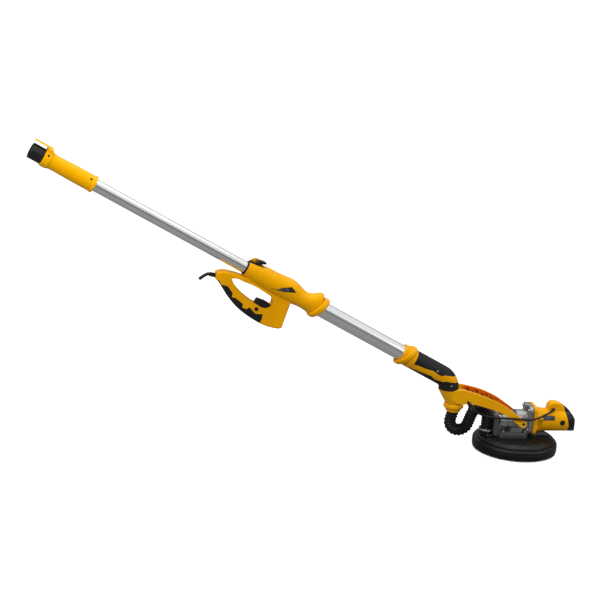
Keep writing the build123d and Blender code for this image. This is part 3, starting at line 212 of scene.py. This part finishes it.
# ---- finishes ----
def plastic(name, base, deep, worn, rough, bevel=0.0005, crevice_shade=0.45, gloss=0.5, coat=0.0,
            tint=(1, 1, 1)):
    """Moulded plastic with worn edges, faint scuffs and painted shade in its corners."""
    m = Finish(name)
    normal = m.rounded(bevel)
    fine = m.noise(scale=140.0, detail=4.0)
    streaks = m.stretch(scale=(0.05, 1.0, 0.4), turn=(0.3, 0.5, 0.2))
    scuff = m.remap(m.noise(scale=900.0, detail=2.0, at=streaks), span=(0.66, 0.72))
    wear = m.times(m.edge_mask(normal), m.remap(fine, span=(0.45, 0.7)), clamp=True)
    colour = m.toward(m.clouds(base, deep), worn, wear, amount=0.5)
    # painted shade: darker in crevices, from an ambient-occlusion mask
    colour = m.toward(colour, scaled(deep, 0.25), m.crevice(distance=0.006), amount=crevice_shade)
    roughness = m.plus(m.vary(fine, low=rough - 0.05, high=rough + 0.07), m.times(scuff, 0.12))
    ripple = m.noise(scale=420.0, detail=1.0)
    normal = m.bump(ripple, distance=0.00006, strength=0.35, normal=normal)
    grain = m.noise(scale=2800.0, detail=2.0, rough=0.6)
    normal = m.bump(grain, distance=0.00003, strength=0.8, normal=normal)
    m.set(Base_Color=colour, Roughness=roughness, Specular_IOR_Level=gloss, Normal=normal,
          Coat_Weight=coat, Coat_Roughness=0.18, Specular_Tint=tint)
    return m.material


def rubber(name, base, rough=0.7, diamond=False, bevel=0.0004):
    """Dusty rubber, with a raised diamond pattern if asked for."""
    m = Finish(name)
    normal = m.rounded(bevel)
    dust = m.remap(m.noise(scale=30.0, detail=5.0, rough=0.65), span=(0.5, 0.85))
    colour = m.toward(base, scaled(base, 2.0, lift=0.006), dust, amount=0.22)
    colour = m.toward(colour, scaled(base, 2.5, lift=0.006), m.edge_mask(normal), amount=0.25)
    grain = m.noise(scale=1700.0, detail=3.0, rough=0.6)
    normal = m.bump(grain, distance=0.00005, strength=0.7, normal=normal)
    if diamond:
        at = m.stretch(scale=(1, 1, 1), turn=(0, -SLOPE + math.radians(45), 0))
        waves = m.times(m.wave(95.0, at, "X"), m.wave(95.0, at, "Z"))
        height = m.remap(waves, span=(0.12, 0.55))
        normal = m.bump(height, distance=0.00035, strength=0.9, normal=normal)
    roughness = m.vary(m.noise(scale=260.0), low=rough - 0.08, high=rough + 0.1)
    m.set(Base_Color=colour, Roughness=roughness, Specular_IOR_Level=0.26, Normal=normal)
    return m.material


def metal(name, base, dark, rough, grain=900.0, depth=0.00002, bevel=0.0003, metallic=1.0):
    """Stained metal with bright edges and painted shade in its crevices; grain and depth shape its
    fine bumps.
    """
    m = Finish(name)
    normal = m.rounded(bevel)
    stain = m.remap(m.noise(scale=35.0, detail=5.0, rough=0.6), span=(0.42, 0.75))
    colour = m.toward(base, dark, stain, amount=0.4)
    colour = m.toward(colour, scaled(base, 1.35), m.edge_mask(normal), amount=0.35)
    # painted shade: darker in crevices, from an ambient-occlusion mask
    colour = m.toward(colour, scaled(dark, 0.2), m.crevice(distance=0.005), amount=0.5)
    bumps = m.noise(scale=grain, detail=3.0, rough=0.6)
    roughness = m.vary(m.noise(scale=180.0, detail=4.0), low=rough - 0.07, high=rough + 0.1)
    m.set(Base_Color=colour, Metallic=metallic, Roughness=roughness,
          Normal=m.bump(bumps, distance=depth, strength=0.8, normal=normal))
    return m.material


def brushed_tube(name, base, rough):
    """Drawn, anodised tube with fine lines along the pole."""
    m = Finish(name)
    along = m.stretch(scale=(14.0, 2600.0, 2600.0), turn=POLE_TURN)
    lines = m.noise(scale=1.0, detail=4.0, rough=0.7, at=along)
    patches = m.remap(m.noise(scale=6.0, detail=4.0, rough=0.6), span=(0.5, 0.8))
    line_span = (0.25, 0.75)
    colour = m.mix(m.remap(lines, span=line_span), scaled(base, 0.93), scaled(base, 1.04))
    colour = m.toward(colour, scaled(base, 0.6), patches, amount=0.10)
    tangent = m.add("ShaderNodeCombineXYZ", dict(enumerate(POLE_DIRECTION)))
    m.set(Base_Color=colour, Metallic=1.0, Anisotropic=0.35, Tangent=tangent.outputs[0],
          Roughness=m.remap(lines, span=line_span, to=(rough - 0.012, rough + 0.02)))
    return m.material


def fork_inner_shade(m):
    """A mask of the fork's faces towards the hose, and the painted shade that colours them."""
    y_facing = m.separate(m.add("ShaderNodeNewGeometry").outputs["True Normal"])[1]
    place = m.separate(m.coord)
    facing = m.times(y_facing, m.math("SIGN", place[1]))
    # painted shade: the faces towards the hose, past the neck, turn deep orange
    inside = m.times(m.remap(facing, span=(-0.35, -0.75)),
                     m.remap(place[0], span=(-0.168, -0.160)))
    # the arm's inner face lies at |y| = widest - curve * (x + shift)^2; the pockets are deeper
    widest, curve, shift = 0.0430, 0.886, 0.025
    off = m.plus(place[0], shift)
    face = m.math("SUBTRACT", widest, m.times(m.times(off, off), curve))
    depth = m.math("SUBTRACT", m.math("ABSOLUTE", place[1]), face)
    # painted shade: lighter orange on the ribs, darker in the pockets between them
    rib = m.remap(depth, span=(0.0030, 0.0022))
    return inside, m.mix(rib, (0.30, 0.028, 0.001), (0.80, 0.125, 0.004))


def fork_plastic():
    """Glossy yellow; painted shade makes it deep orange towards the hose, darker in the pockets
    between the ribs, and darker in crevices.
    """
    m = Finish("fork_plastic")
    normal = m.rounded(0.0007)
    colour = m.clouds((0.90, 0.43, 0.0008), (0.83, 0.37, 0.0006))
    colour = m.toward(colour, (0.95, 0.58, 0.05), m.edge_mask(normal), amount=0.35)
    # painted shade: deep orange on the faces towards the hose
    inside, inner_shade_colour = fork_inner_shade(m)
    colour = m.mix(inside, colour, inner_shade_colour)
    # painted shade: darker in crevices, from an ambient-occlusion mask
    colour = m.toward(colour, (0.16, 0.055, 0.0005), m.crevice(distance=0.006), amount=0.55)
    ripple = m.noise(scale=420.0, detail=1.0)
    m.set(Base_Color=colour, Specular_IOR_Level=0.5, Coat_Weight=0.08, Coat_Roughness=0.12,
          Specular_Tint=(1.0, 0.75, 0.12),
          Roughness=m.vary(m.noise(scale=140.0, detail=4.0), low=0.22, high=0.34),
          Normal=m.bump(ripple, distance=0.00005, strength=0.3, normal=normal))
    return m.material


def badge():
    """Black wedge with a plain grey panel and a thin pale rule round it."""
    m = Finish("badge")
    normal = m.rounded(0.0005)
    place = dict(along=(0.7925, 0.8215), across=(-0.0060, 0.0085))
    outer = m.pole_box(**place)
    panel = m.pole_box(**place, inset=0.001)
    grain = m.noise(scale=900.0)
    grey = m.mix(m.noise(scale=70.0), (0.030, 0.030, 0.032), (0.060, 0.060, 0.064))
    colour = m.mix(outer, (0.010, 0.008, 0.007), (0.20, 0.20, 0.20))
    m.set(Base_Color=m.mix(panel, colour, grey), Roughness=m.vary(grain, low=0.30, high=0.42),
          Normal=m.bump(grain, distance=0.00002, strength=0.6, normal=normal))
    return m.material


def rating_label():
    """Dark sticker with a pale border and two plain bars."""
    m = Finish("label")
    normal = m.rounded(0.0002)
    place = m.separate(m.coord)
    low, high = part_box("motor_label")
    width, height = high.x - low.x, high.z - low.z

    def inside(axis, start, end):
        return m.band(place[axis], start, end, soft=0.00012)

    def panel(inset):
        return m.times(inside(0, low.x + inset, high.x - inset),
                       inside(2, low.z + inset, high.z - inset))

    def row(bottom, top):
        return inside(2, low.z + bottom * height, low.z + top * height)

    border = m.math("SUBTRACT", panel(inset=0.001), panel(inset=0.0014))
    columns = inside(0, low.x + 0.004, low.x + 0.62 * width)
    rows = m.plus(row(bottom=0.30, top=0.36), row(bottom=0.60, top=0.68))
    marks = m.plus(border, m.times(columns, rows), clamp=True)
    grain = m.noise(scale=1200.0, detail=2.0)
    m.set(Base_Color=m.toward((0.022, 0.022, 0.024), (0.42, 0.42, 0.42), marks, amount=0.55),
          Roughness=m.vary(grain, low=0.25, high=0.36),
          Normal=m.bump(grain, distance=0.00001, strength=0.5, normal=normal))
    return m.material


def abrasive():
    """Brown grit with pale dusty patches."""
    m = Finish("abrasive")
    grit = m.cells(scale=1500.0)
    small = m.cells(scale=3600.0)
    dust = m.remap(m.noise(scale=25.0, detail=5.0), span=(0.52, 0.72), to=(0.0, 0.5))
    colour = m.mix(m.remap(grit, span=(0.0, 0.7)), (0.36, 0.20, 0.09), (0.13, 0.065, 0.03))
    m.set(Base_Color=m.mix(dust, colour, (0.62, 0.58, 0.50)),
          Roughness=m.remap(small, span=(0.0, 0.6), to=(0.55, 0.95)),
          Normal=m.bump(m.plus(grit, m.times(small, 0.5)), distance=0.0004, strength=0.9))
    return m.material


def foam():
    m = Finish("foam")
    cell = m.cells(scale=700.0)
    shade = m.remap(cell, span=(0.1, 0.6))
    m.set(Base_Color=m.mix(shade, (0.012, 0.012, 0.013), (0.075, 0.075, 0.08)), Roughness=0.92,
          Normal=m.bump(cell, distance=0.0006, strength=0.9))
    return m.material


def bristle():
    m = Finish("bristle")
    grain = m.noise(scale=600.0, detail=2.0)
    m.set(Base_Color=m.mix(grain, (0.010, 0.010, 0.011), (0.045, 0.045, 0.048)),
          Roughness=m.vary(grain, low=0.35, high=0.55), Specular_IOR_Level=0.6)
    return m.material


# each plastic sets how strongly painted shade darkens its crevices
YELLOW = plastic(
    "yellow_plastic", base=(0.90, 0.41, 0.0006), deep=(0.80, 0.35, 0.0005), worn=(0.98, 0.60, 0.04),
    rough=0.40, bevel=0.0009, gloss=0.36, coat=0.02, crevice_shade=0.5, tint=(1.0, 0.72, 0.08))
YELLOW_PALE = plastic(
    "yellow_plastic_pale", base=(1.0, 0.47, 0.0006), deep=(0.95, 0.43, 0.0005),
    worn=(1.0, 0.64, 0.05), rough=0.42, bevel=0.0009, gloss=0.36, coat=0.02, crevice_shade=0.4,
    tint=(1.0, 0.75, 0.08))
BLACK = plastic(
    "black_plastic", base=(0.007, 0.007, 0.0085), deep=(0.005, 0.005, 0.006),
    worn=(0.04, 0.04, 0.045), rough=0.36, crevice_shade=0.3, gloss=0.38)
BLACK_SATIN = plastic(
    "black_plastic_satin", base=(0.009, 0.0095, 0.011), deep=(0.006, 0.006, 0.007),
    worn=(0.05, 0.05, 0.055), rough=0.46, bevel=0.0008, crevice_shade=0.3, gloss=0.36)
COVER = plastic(
    "disc_cover_plastic", base=(0.0032, 0.0030, 0.0030), deep=(0.0022, 0.0021, 0.0021),
    worn=(0.04, 0.04, 0.04), rough=0.40, bevel=0.0008, crevice_shade=0.3, gloss=0.26)
DARK_GREY = plastic("dark_grey_plastic", base=(0.05, 0.05, 0.055), deep=(0.03, 0.03, 0.033),
                    worn=(0.12, 0.12, 0.12), rough=0.5)
NYLON = plastic("nylon", base=(0.62, 0.60, 0.54), deep=(0.52, 0.50, 0.44),
                worn=(0.7, 0.68, 0.62), rough=0.42)
RUBBER = rubber("black_rubber", base=(0.007, 0.007, 0.008))
NECK_RUBBER = rubber("neck_rubber", base=(0.008, 0.008, 0.0095), rough=0.56)
GRIP_RUBBER = rubber("grip_rubber", base=(0.0065, 0.0065, 0.0075), diamond=True)
CORD_RUBBER = rubber("cord_rubber", base=(0.0055, 0.0055, 0.0065), rough=0.42)
SKIRT_RUBBER = rubber("skirt_rubber", base=(0.0025, 0.0025, 0.0032), rough=0.38, bevel=0.0008)
HOSE_RUBBER = rubber("hose_rubber", base=(0.0035, 0.0035, 0.0042), rough=0.40)
FORK_YELLOW = fork_plastic()
TUBE = brushed_tube("anodised_aluminium", base=(0.86, 0.865, 0.86), rough=0.22)
TUBE_REAR = brushed_tube("anodised_aluminium_rear", base=(0.86, 0.865, 0.855), rough=0.20)
CAST = metal("cast_aluminium", base=(0.36, 0.36, 0.355), dark=(0.13, 0.13, 0.13), rough=0.42,
             grain=1100.0, depth=0.00008, bevel=0.0007, metallic=0.9)
# a darker copy of the cast aluminium: painted shade for the gearbox base under the housing
CAST_SHADED = metal("cast_aluminium_shaded", base=(0.16, 0.16, 0.165), dark=(0.08, 0.08, 0.085),
                  rough=0.48, grain=1100.0, depth=0.00008, bevel=0.0007, metallic=0.85)
STEEL = metal("steel", base=(0.66, 0.665, 0.68), dark=(0.38, 0.37, 0.36), rough=0.26,
              grain=1500.0, depth=0.00001)
DARK_STEEL = metal("dark_steel", base=(0.09, 0.09, 0.095), dark=(0.04, 0.04, 0.045), rough=0.34,
                   grain=1500.0, depth=0.00001)
LAMINATION = metal("electrical_steel", base=(0.30, 0.30, 0.31), dark=(0.16, 0.15, 0.15), rough=0.42)
CARBON = metal("carbon", base=(0.03, 0.03, 0.032), dark=(0.015, 0.015, 0.016), rough=0.55,
               metallic=0.3)
BRISTLE = bristle()

# the finish of each material slot, and of the parts that differ from their slot
SLOT_FINISHES = {
    "yellow_plastic": YELLOW, "black_plastic": BLACK, "black_rubber": RUBBER,
    "grey_plastic": DARK_GREY, "nylon": NYLON, "anodised_aluminium": TUBE,
    "cast_aluminium": CAST, "steel": STEEL, "dark_steel": DARK_STEEL,
    "electrical_steel": LAMINATION, "carbon": CARBON, "hose_rubber": HOSE_RUBBER,
    "bristle": BRISTLE, "abrasive": abrasive(), "foam": foam(), "dark_plastic": DARK_GREY,
}
PART_FINISHES = {
    "fork_left": FORK_YELLOW, "fork_right": FORK_YELLOW, "inlet_collar": FORK_YELLOW,
    "rear_tube": TUBE_REAR, "badge_plates": badge(), "motor_label": rating_label(),
    "handle_grip_rubber": GRIP_RUBBER, "neck_rubber": NECK_RUBBER, "power_cord": CORD_RUBBER,
    "skirt_ring": SKIRT_RUBBER, "shroud_cover": COVER, "hose_port": COVER,
    "rear_grip_right": YELLOW_PALE, "rear_grip_left": YELLOW_PALE, "hose_adapter": BLACK,
    "clamp_shoe": BLACK, "gearbox_base": CAST_SHADED, "rear_grip_screws": DARK_STEEL,
}
for part in frame["record"]["subparts"]:
    materials = frame["nodes"][part["node"]].data.materials
    materials.clear()
    materials.append(PART_FINISHES.get(part["node"]) or SLOT_FINISHES[part["material_slot"]])


# ---- geometry helpers ----
def mesh_object(name, verts, faces, material):
    """A smooth-shaded object with its normals facing outwards."""
    mesh = bpy.data.meshes.new(name)
    mesh.from_pydata([tuple(v) for v in verts], [], faces)
    mesh.materials.append(material)
    mesh.polygons.foreach_set("use_smooth", [True] * len(mesh.polygons))
    mesh.validate()
    mesh.update()
    bm = bmesh.new()
    bm.from_mesh(mesh)
    bmesh.ops.recalc_face_normals(bm, faces=bm.faces)
    bm.to_mesh(mesh)
    bm.free()
    return add_object(name, mesh)


def add_object(name, data):
    thing = bpy.data.objects.new(name, data)
    scene.collection.objects.link(thing)
    return thing


def stand_in(part):
    """Hide a CAD part that a new object stands in for."""
    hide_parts(part)


def cross_axes(path):
    """Two axes across the path at each point, carried along so they don't twist."""
    axes = []
    normal = Vector((0, 1, 0))  # no path here starts along Y
    for i in range(len(path)):
        tangent = (path[min(i + 1, len(path) - 1)] - path[max(i - 1, 0)]).normalized()
        normal = (normal - tangent * normal.dot(tangent)).normalized()
        axes.append((normal, tangent.cross(normal)))
    return axes


def pipe(name, path, radii, material, sides, bore=None):
    """A closed pipe with one outer radius per point, hollow if a bore radius is given."""
    axes = cross_axes(path)
    angles = [2 * math.pi * k / sides for k in range(sides)]

    def shell(shell_radii):
        return [centre + (across * math.cos(a) + other * math.sin(a)) * radius
                for centre, radius, (across, other) in zip(path, shell_radii, axes)
                for a in angles]

    def ring_faces(low, high):
        return [(low + k, low + (k + 1) % sides, high + (k + 1) % sides, high + k)
                for k in range(sides)]

    verts = shell(radii)
    last = (len(path) - 1) * sides
    steps = range(0, last, sides)
    faces = [face for i in steps for face in ring_faces(i, i + sides)]
    if bore is None:
        faces += [tuple(range(sides)), tuple(range(last, last + sides))]
    else:
        base = len(verts)
        verts += shell([bore] * len(path))
        for i in steps:
            faces += [(a, d, c, b) for a, b, c, d in ring_faces(base + i, base + i + sides)]
        for end in (0, last):
            faces += ring_faces(end, base + end)
    return mesh_object(name, verts, faces, material)


def resample(points, step):
    """Points at an even step along a polyline, with its last point kept."""
    path, ahead = [points[0].copy()], step
    for start, end in zip(points, points[1:]):
        run = end - start
        length = run.length
        while ahead <= length:
            path.append(start + run * (ahead / length))
            ahead += step
        ahead -= length
    if (path[-1] - points[-1]).length > step * 0.3:
        path.append(points[-1].copy())
    else:
        path[-1] = points[-1].copy()
    return path


def smooth_path(points, per=16):
    """A Catmull-Rom curve through the points."""
    curve = []
    knots = [points[0] * 2 - points[1]] + list(points) + [points[-1] * 2 - points[-2]]
    for a, b, c, d in zip(knots, knots[1:], knots[2:], knots[3:]):
        for k in range(per):
            u = k / per
            curve.append(0.5 * ((2 * b) + (c - a) * u + (2 * a - 5 * b + 4 * c - d) * u * u
                                + (3 * b - a - 3 * c + d) * u ** 3))
    curve.append(points[-1].copy())
    return curve


# ---- suction hose: two ribbed lengths that meet at the top of the arch ----
# centre line in mm, in the plane y = 0
LOWER_BEND, LOWER_BEND_RADIUS = Vector((-173, 0, 82)), 27.0
UPPER_BEND, UPPER_BEND_RADIUS = Vector((-114, 0, 95)), 25.0
INLET_X = -194
INLET_HEIGHTS = (127, 124, 121, 118, 114.5)
SWAY_TOP = 114  # below this the hose eases across to the lower bend
PORT_HEIGHTS = (90, 80, 70, 60, 51)
# in metres
HOSE_STEP = 0.00043
RIB_PITCH = 0.0078
RIB_TOP, RIB_VALLEY = 0.0174, 0.0143
HOSE_BORE = 0.0130
HOSE_SIDES = 56


def bend(centre, radius, start, end, first=0):
    """Points of an arc of 60 steps, from step first on."""
    angles = [start + (end - start) * i / 60 for i in range(first, 61)]
    return [centre + Vector((math.cos(a), 0, math.sin(a))) * radius for a in angles]


def hose_centre():
    """Down from the inlet, round the lower bend, over the upper bend and down to the port."""
    gap = UPPER_BEND - LOWER_BEND
    radii = LOWER_BEND_RADIUS + UPPER_BEND_RADIUS
    # the straight between the bends touches both, on opposite sides
    heading = math.atan2(gap.z, gap.x) + math.atan2(radii, math.sqrt(gap.length ** 2 - radii ** 2))
    points = [Vector((INLET_X, 0, z)) for z in INLET_HEIGHTS]
    sway = INLET_X - (LOWER_BEND.x - LOWER_BEND_RADIUS)
    drop = SWAY_TOP - LOWER_BEND.z
    for i in range(33):
        u = i / 32
        points.append(Vector((INLET_X - sway * (u * u * (3 - 2 * u)), 0, SWAY_TOP - drop * u)))
    points += bend(LOWER_BEND, LOWER_BEND_RADIUS, start=math.pi,
                   end=2 * math.pi + (heading - math.pi / 2), first=1)
    points += bend(UPPER_BEND, UPPER_BEND_RADIUS, start=heading + math.pi / 2, end=0)
    port_x = UPPER_BEND.x + UPPER_BEND_RADIUS
    points += [Vector((port_x, 0, z)) for z in PORT_HEIGHTS]
    return [p * MM for p in points]


def rib_radii(path):
    """Flat-topped ribs with narrow valleys, keyed to the distance along the path."""
    radii, distance = [], 0.0
    for i, p in enumerate(path):
        if i:
            distance += (p - path[i - 1]).length
        u = 0.5 - 0.5 * math.cos(2 * math.pi * distance / RIB_PITCH)
        radii.append(RIB_VALLEY + (RIB_TOP - RIB_VALLEY) * u ** 0.55)
    return radii


def suction_hose():
    path = resample(hose_centre(), HOSE_STEP)
    radii = rib_radii(path)
    crest = (UPPER_BEND + Vector((0, 0, UPPER_BEND_RADIUS))) * MM
    split = min(range(len(path)), key=lambda i: (path[i] - crest).length)
    lower, upper = [
        pipe(name, path[span], radii[span], HOSE_RUBBER, sides=HOSE_SIDES, bore=HOSE_BORE)
        for name, span in (("suction_hose_lower", slice(split + 1)),
                           ("suction_hose_upper", slice(split, None)))]
    for length in (lower, upper):
        stand_in("suction_hose")
    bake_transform(lower)
    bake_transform(upper)


suction_hose()

# ---- head cable: a round lead from the fork to the motor hump, in two lengths ----
# x, y, z in mm, from the fork to just short of the gland
CABLE_POINTS = [
    (-168, -22, 158), (-163, -33, 151.5), (-156, -46, 139), (-144, -53.5, 129),
    (-127, -55.5, 120.5), (-103, -56.5, 114), (-80, -57, 111), (-57, -57.2, 110),
    (-34, -57.2, 109), (-11, -57, 107.5), (8, -56, 105.8), (22, -53.5, 104.6),
    (37, -50, 105.5), (52, -45.8, 109), (66, -40.5, 113.5), (80, -35, 118), (92, -27.5, 122.2),
]
CABLE_RADIUS = 0.0028
CABLE_STEP = 0.0011
CABLE_SPLIT_X = -0.034
GLAND = Vector((102, -13, 124.5)) * MM
GLAND_OUT = Vector((-0.45, -0.85, -0.15)).normalized()
GLAND_LEAD_IN = 0.009  # the last bend point's distance out from the gland
GLAND_SUNK = 0.002  # the cable's end past the gland
RELIEF_RADIUS, RELIEF_TAPER = 0.0047, 0.0016
RELIEF_TAPER_RUN = 12.5  # mm over which the whole taper would be used
RELIEF_GROOVE = 0.0006
GROMMET = Vector((-158, -42.5, 142.5)) * MM
GROMMET_OUT = Vector((0.45, -0.72, -0.52)).normalized()
# distance along the axis and radius, mm
GROMMET_PROFILE = [(-6, 5.0), (-4, 5.2), (-2, 5.6), (0, 6.4), (1.0, 6.7), (2.0, 6.7), (3.0, 6.4),
                   (3.8, 5.6), (4.2, 4.6)]


def cable_lengths():
    points = [Vector(p) * MM for p in CABLE_POINTS]
    points += [GLAND + GLAND_OUT * GLAND_LEAD_IN, GLAND - GLAND_OUT * GLAND_SUNK]
    path = resample(smooth_path(points), CABLE_STEP)
    split = min(range(len(path)), key=lambda i: abs(path[i].x - CABLE_SPLIT_X))
    return [pipe(name, part, [CABLE_RADIUS] * len(part), CORD_RUBBER, sides=20)
            for name, part in (("head_cable_fork_length", path[: split + 1]),
                               ("head_cable_motor_length", path[split:]))]


def strain_relief():
    """A tapered sleeve at the gland, grooved every other millimetre."""
    distances = [-2 + 0.25 * i for i in range(57)]
    radii = []
    for x in distances:
        groove = RELIEF_GROOVE if int(x) % 2 == 0 and x > 1.5 else 0.0
        radii.append(RELIEF_RADIUS - RELIEF_TAPER * max(0.0, x) / RELIEF_TAPER_RUN - groove)
    path = [GLAND + GLAND_OUT * (x * MM) for x in distances]
    return pipe("head_cable_relief", path, radii, RUBBER, sides=32)


def cable_grommet():
    path = [GROMMET + GROMMET_OUT * (MM * x) for x, _ in GROMMET_PROFILE]
    radii = [MM * radius for _, radius in GROMMET_PROFILE]
    return pipe("head_cable_grommet", path, radii, RUBBER, sides=32)


def head_cable():
    fork_length, motor_length = cable_lengths()
    relief = strain_relief()
    grommet = cable_grommet()
    for piece in (fork_length, motor_length, relief, grommet):
        stand_in("head_cable")
    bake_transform(fork_length)
    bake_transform(motor_length)
    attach(relief, "head")
    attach(grommet, "handle_and_fork")


head_cable()

# ---- brush skirt: four rings of three-sided tapering bristles ----
# ring radius, bristle count
BRISTLE_ROWS = [(0.1150, 760), (0.1166, 780), (0.1182, 800), (0.1198, 820)]
ROOT_SINK = 0.0012  # how far the roots rise above the part's own box


def add_bristle(verts, faces, angle, bottom, top):
    out = Vector((math.cos(angle[0]), math.sin(angle[0]), 0))
    side = Vector((-out.y, out.x, 0))
    lean = side * random.uniform(-0.0006, 0.0006) + out * random.uniform(-0.0004, 0.0003)
    root = out * (angle[1] + random.uniform(-0.0004, 0.0004)) + Vector((0, 0, top))
    base = len(verts)
    # height as a share of the length, half width, share of the lean
    stations = ((1.0, 0.00024, 0.0), (0.5, 0.00024, 0.35), (random.uniform(0.0, 0.05), 0.00016, 1.0))
    for height, width, leaning in stations:
        centre = (Vector((root.x, root.y, 0)) + lean * leaning
                  + Vector((0, 0, bottom + (root.z - bottom) * height)))
        for k in range(3):
            turn = 2 * math.pi * k / 3
            verts.append(centre + (out * math.cos(turn) + side * math.sin(turn)) * width)
    for ring in (base, base + 3):
        for k in range(3):
            after = (k + 1) % 3
            faces.append((ring + k, ring + after, ring + 3 + after, ring + 3 + k))
    faces.append((base + 6, base + 7, base + 8))
    faces.append((base, base + 2, base + 1))


def brush_skirt():
    low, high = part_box("skirt_bristles")
    verts, faces = [], []
    for row, (radius, count) in enumerate(BRISTLE_ROWS):
        for i in range(count):
            # odd rows are shifted by half a space
            place = i + 0.5 * (row % 2) + random.uniform(-0.25, 0.25)
            angle = 2 * math.pi * place / count
            add_bristle(verts, faces, (angle, radius), bottom=low.z, top=high.z + ROOT_SINK)
    tufts = mesh_object("skirt_bristle_tufts", verts, faces, BRISTLE)
    stand_in("skirt_bristles")
    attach(tufts, "skirt")


brush_skirt()


def skirt_springs():
    source = frame["nodes"]["skirt_springs"]
    coils = add_object("skirt_spring_coils", source.data.copy())
    coils.matrix_world = source.matrix_world.copy()
    stand_in("skirt_springs")
    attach(coils, "head")
    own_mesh(coils)


skirt_springs()

# ---- floor, light and camera ----
FLOOR_HALF = 60
FLOOR_Z = -0.0006
# height in the room, grey
ROOM_GREYS = [(0.0, 0.20), (0.22, 0.24), (0.36, 0.60), (0.48, 1.0), (1.0, 1.0)]
WHITE = (1, 1, 1)


def floor_finish():
    """Paler to the camera than to the tubes above, which mirror a mid grey."""
    m = Finish("floor")
    colour = m.mix(m.noise(scale=3.0), (0.22, 0.22, 0.22), (0.245, 0.245, 0.243))
    m.set(Base_Color=colour, Roughness=0.85, Specular_IOR_Level=0.15)
    pale = m.add("ShaderNodeBsdfDiffuse", {"Color": (0.42, 0.42, 0.42)})
    glow = m.add("ShaderNodeEmission", {"Color": WHITE, "Strength": 0.84})
    both = m.add("ShaderNodeAddShader", {0: pale.outputs[0], 1: glow.outputs[0]})
    camera_ray = m.add("ShaderNodeLightPath").outputs["Is Camera Ray"]
    choose = m.add("ShaderNodeMixShader", {0: camera_ray, 1: m.bsdf.outputs[0], 2: both.outputs[0]})
    m.link(choose.outputs[0], m.output.inputs["Surface"])
    return m.material


def floor():
    mesh = bpy.data.meshes.new("floor")
    corners = [(-1, -1), (1, -1), (1, 1), (-1, 1)]
    mesh.from_pydata([(x * FLOOR_HALF, y * FLOOR_HALF, FLOOR_Z) for x, y in corners], [],
                     [(0, 1, 2, 3)])
    plane = add_object("floor", mesh)
    mesh.materials.append(floor_finish())


def studio():
    """White to the camera; a room that darkens downwards to everything else."""
    world = bpy.data.worlds.new("studio")
    scene.world = world
    world.use_nodes = True
    n = Nodes(world.node_tree)
    generated = n.add("ShaderNodeTexCoord").outputs["Generated"]
    height = n.add("ShaderNodeSeparateXYZ", {0: generated}).outputs[2]
    greys = n.add("ShaderNodeValToRGB", {0: height})
    greys.color_ramp.interpolation = "EASE"
    elements = greys.color_ramp.elements
    while len(elements) < len(ROOM_GREYS):
        elements.new(0.5)
    for element, (position, grey) in zip(elements, ROOM_GREYS):
        element.position = position
        element.color = (grey, grey, grey, 1)
    room = n.add("ShaderNodeBackground", {"Color": greys.outputs[0], "Strength": 0.86})
    seen = n.add("ShaderNodeBackground", {"Color": WHITE})
    camera_ray = n.add("ShaderNodeLightPath").outputs["Is Camera Ray"]
    pick = n.add("ShaderNodeMixShader", {0: camera_ray, 1: room.outputs[0], 2: seen.outputs[0]})
    n.add("ShaderNodeOutputWorld", {"Surface": pick.outputs[0]})


def softbox(name, at, target, size, power):
    light = bpy.data.lights.new(name, "AREA")
    light.shape = "RECTANGLE"
    light.size, light.size_y = size
    light.energy = power
    box = add_object(name, light)
    box.location = at
    box.rotation_mode = "QUATERNION"
    box.rotation_quaternion = (Vector(target) - Vector(at)).to_track_quat("-Z", "Y")


def camera():
    data = bpy.data.cameras.new("camera")
    viewer = add_object("camera", data)
    right = Vector((0.9801689694, -0.1839855537, 0.0736077945))
    up = Vector((-0.0210081091, 0.2728793994, 0.9618188461))
    back = Vector((-0.1970468237, -0.9442913477, 0.2636027311))
    pose = Matrix((right, up, back)).transposed().to_4x4()
    pose.translation = Vector((-1.5887998852, -4.4373459909, 1.6690342962))
    viewer.matrix_world = pose
    data.sensor_width = 36.0
    data.lens = 102.4852810706
    data.clip_start, data.clip_end = 0.05, 200.0
    scene.camera = viewer


floor()
studio()
softbox("key", at=(-1.6, -2.6, 2.9), target=(-0.6, 0, 0.35), size=(1.6, 1.2), power=30)
softbox("top", at=(0.1, 0.5, 3.2), target=(-0.5, 0, 0.3), size=(2.6, 1.0), power=26)
softbox("rear", at=(-2.3, -1.5, 1.5), target=(-1.25, 0, 0.70), size=(0.9, 0.9), power=12)
softbox("side", at=(2.3, -1.6, 1.3), target=(-0.1, 0, 0.2), size=(1.0, 1.2), power=12)
camera()
scene.view_settings.view_transform = "Standard"
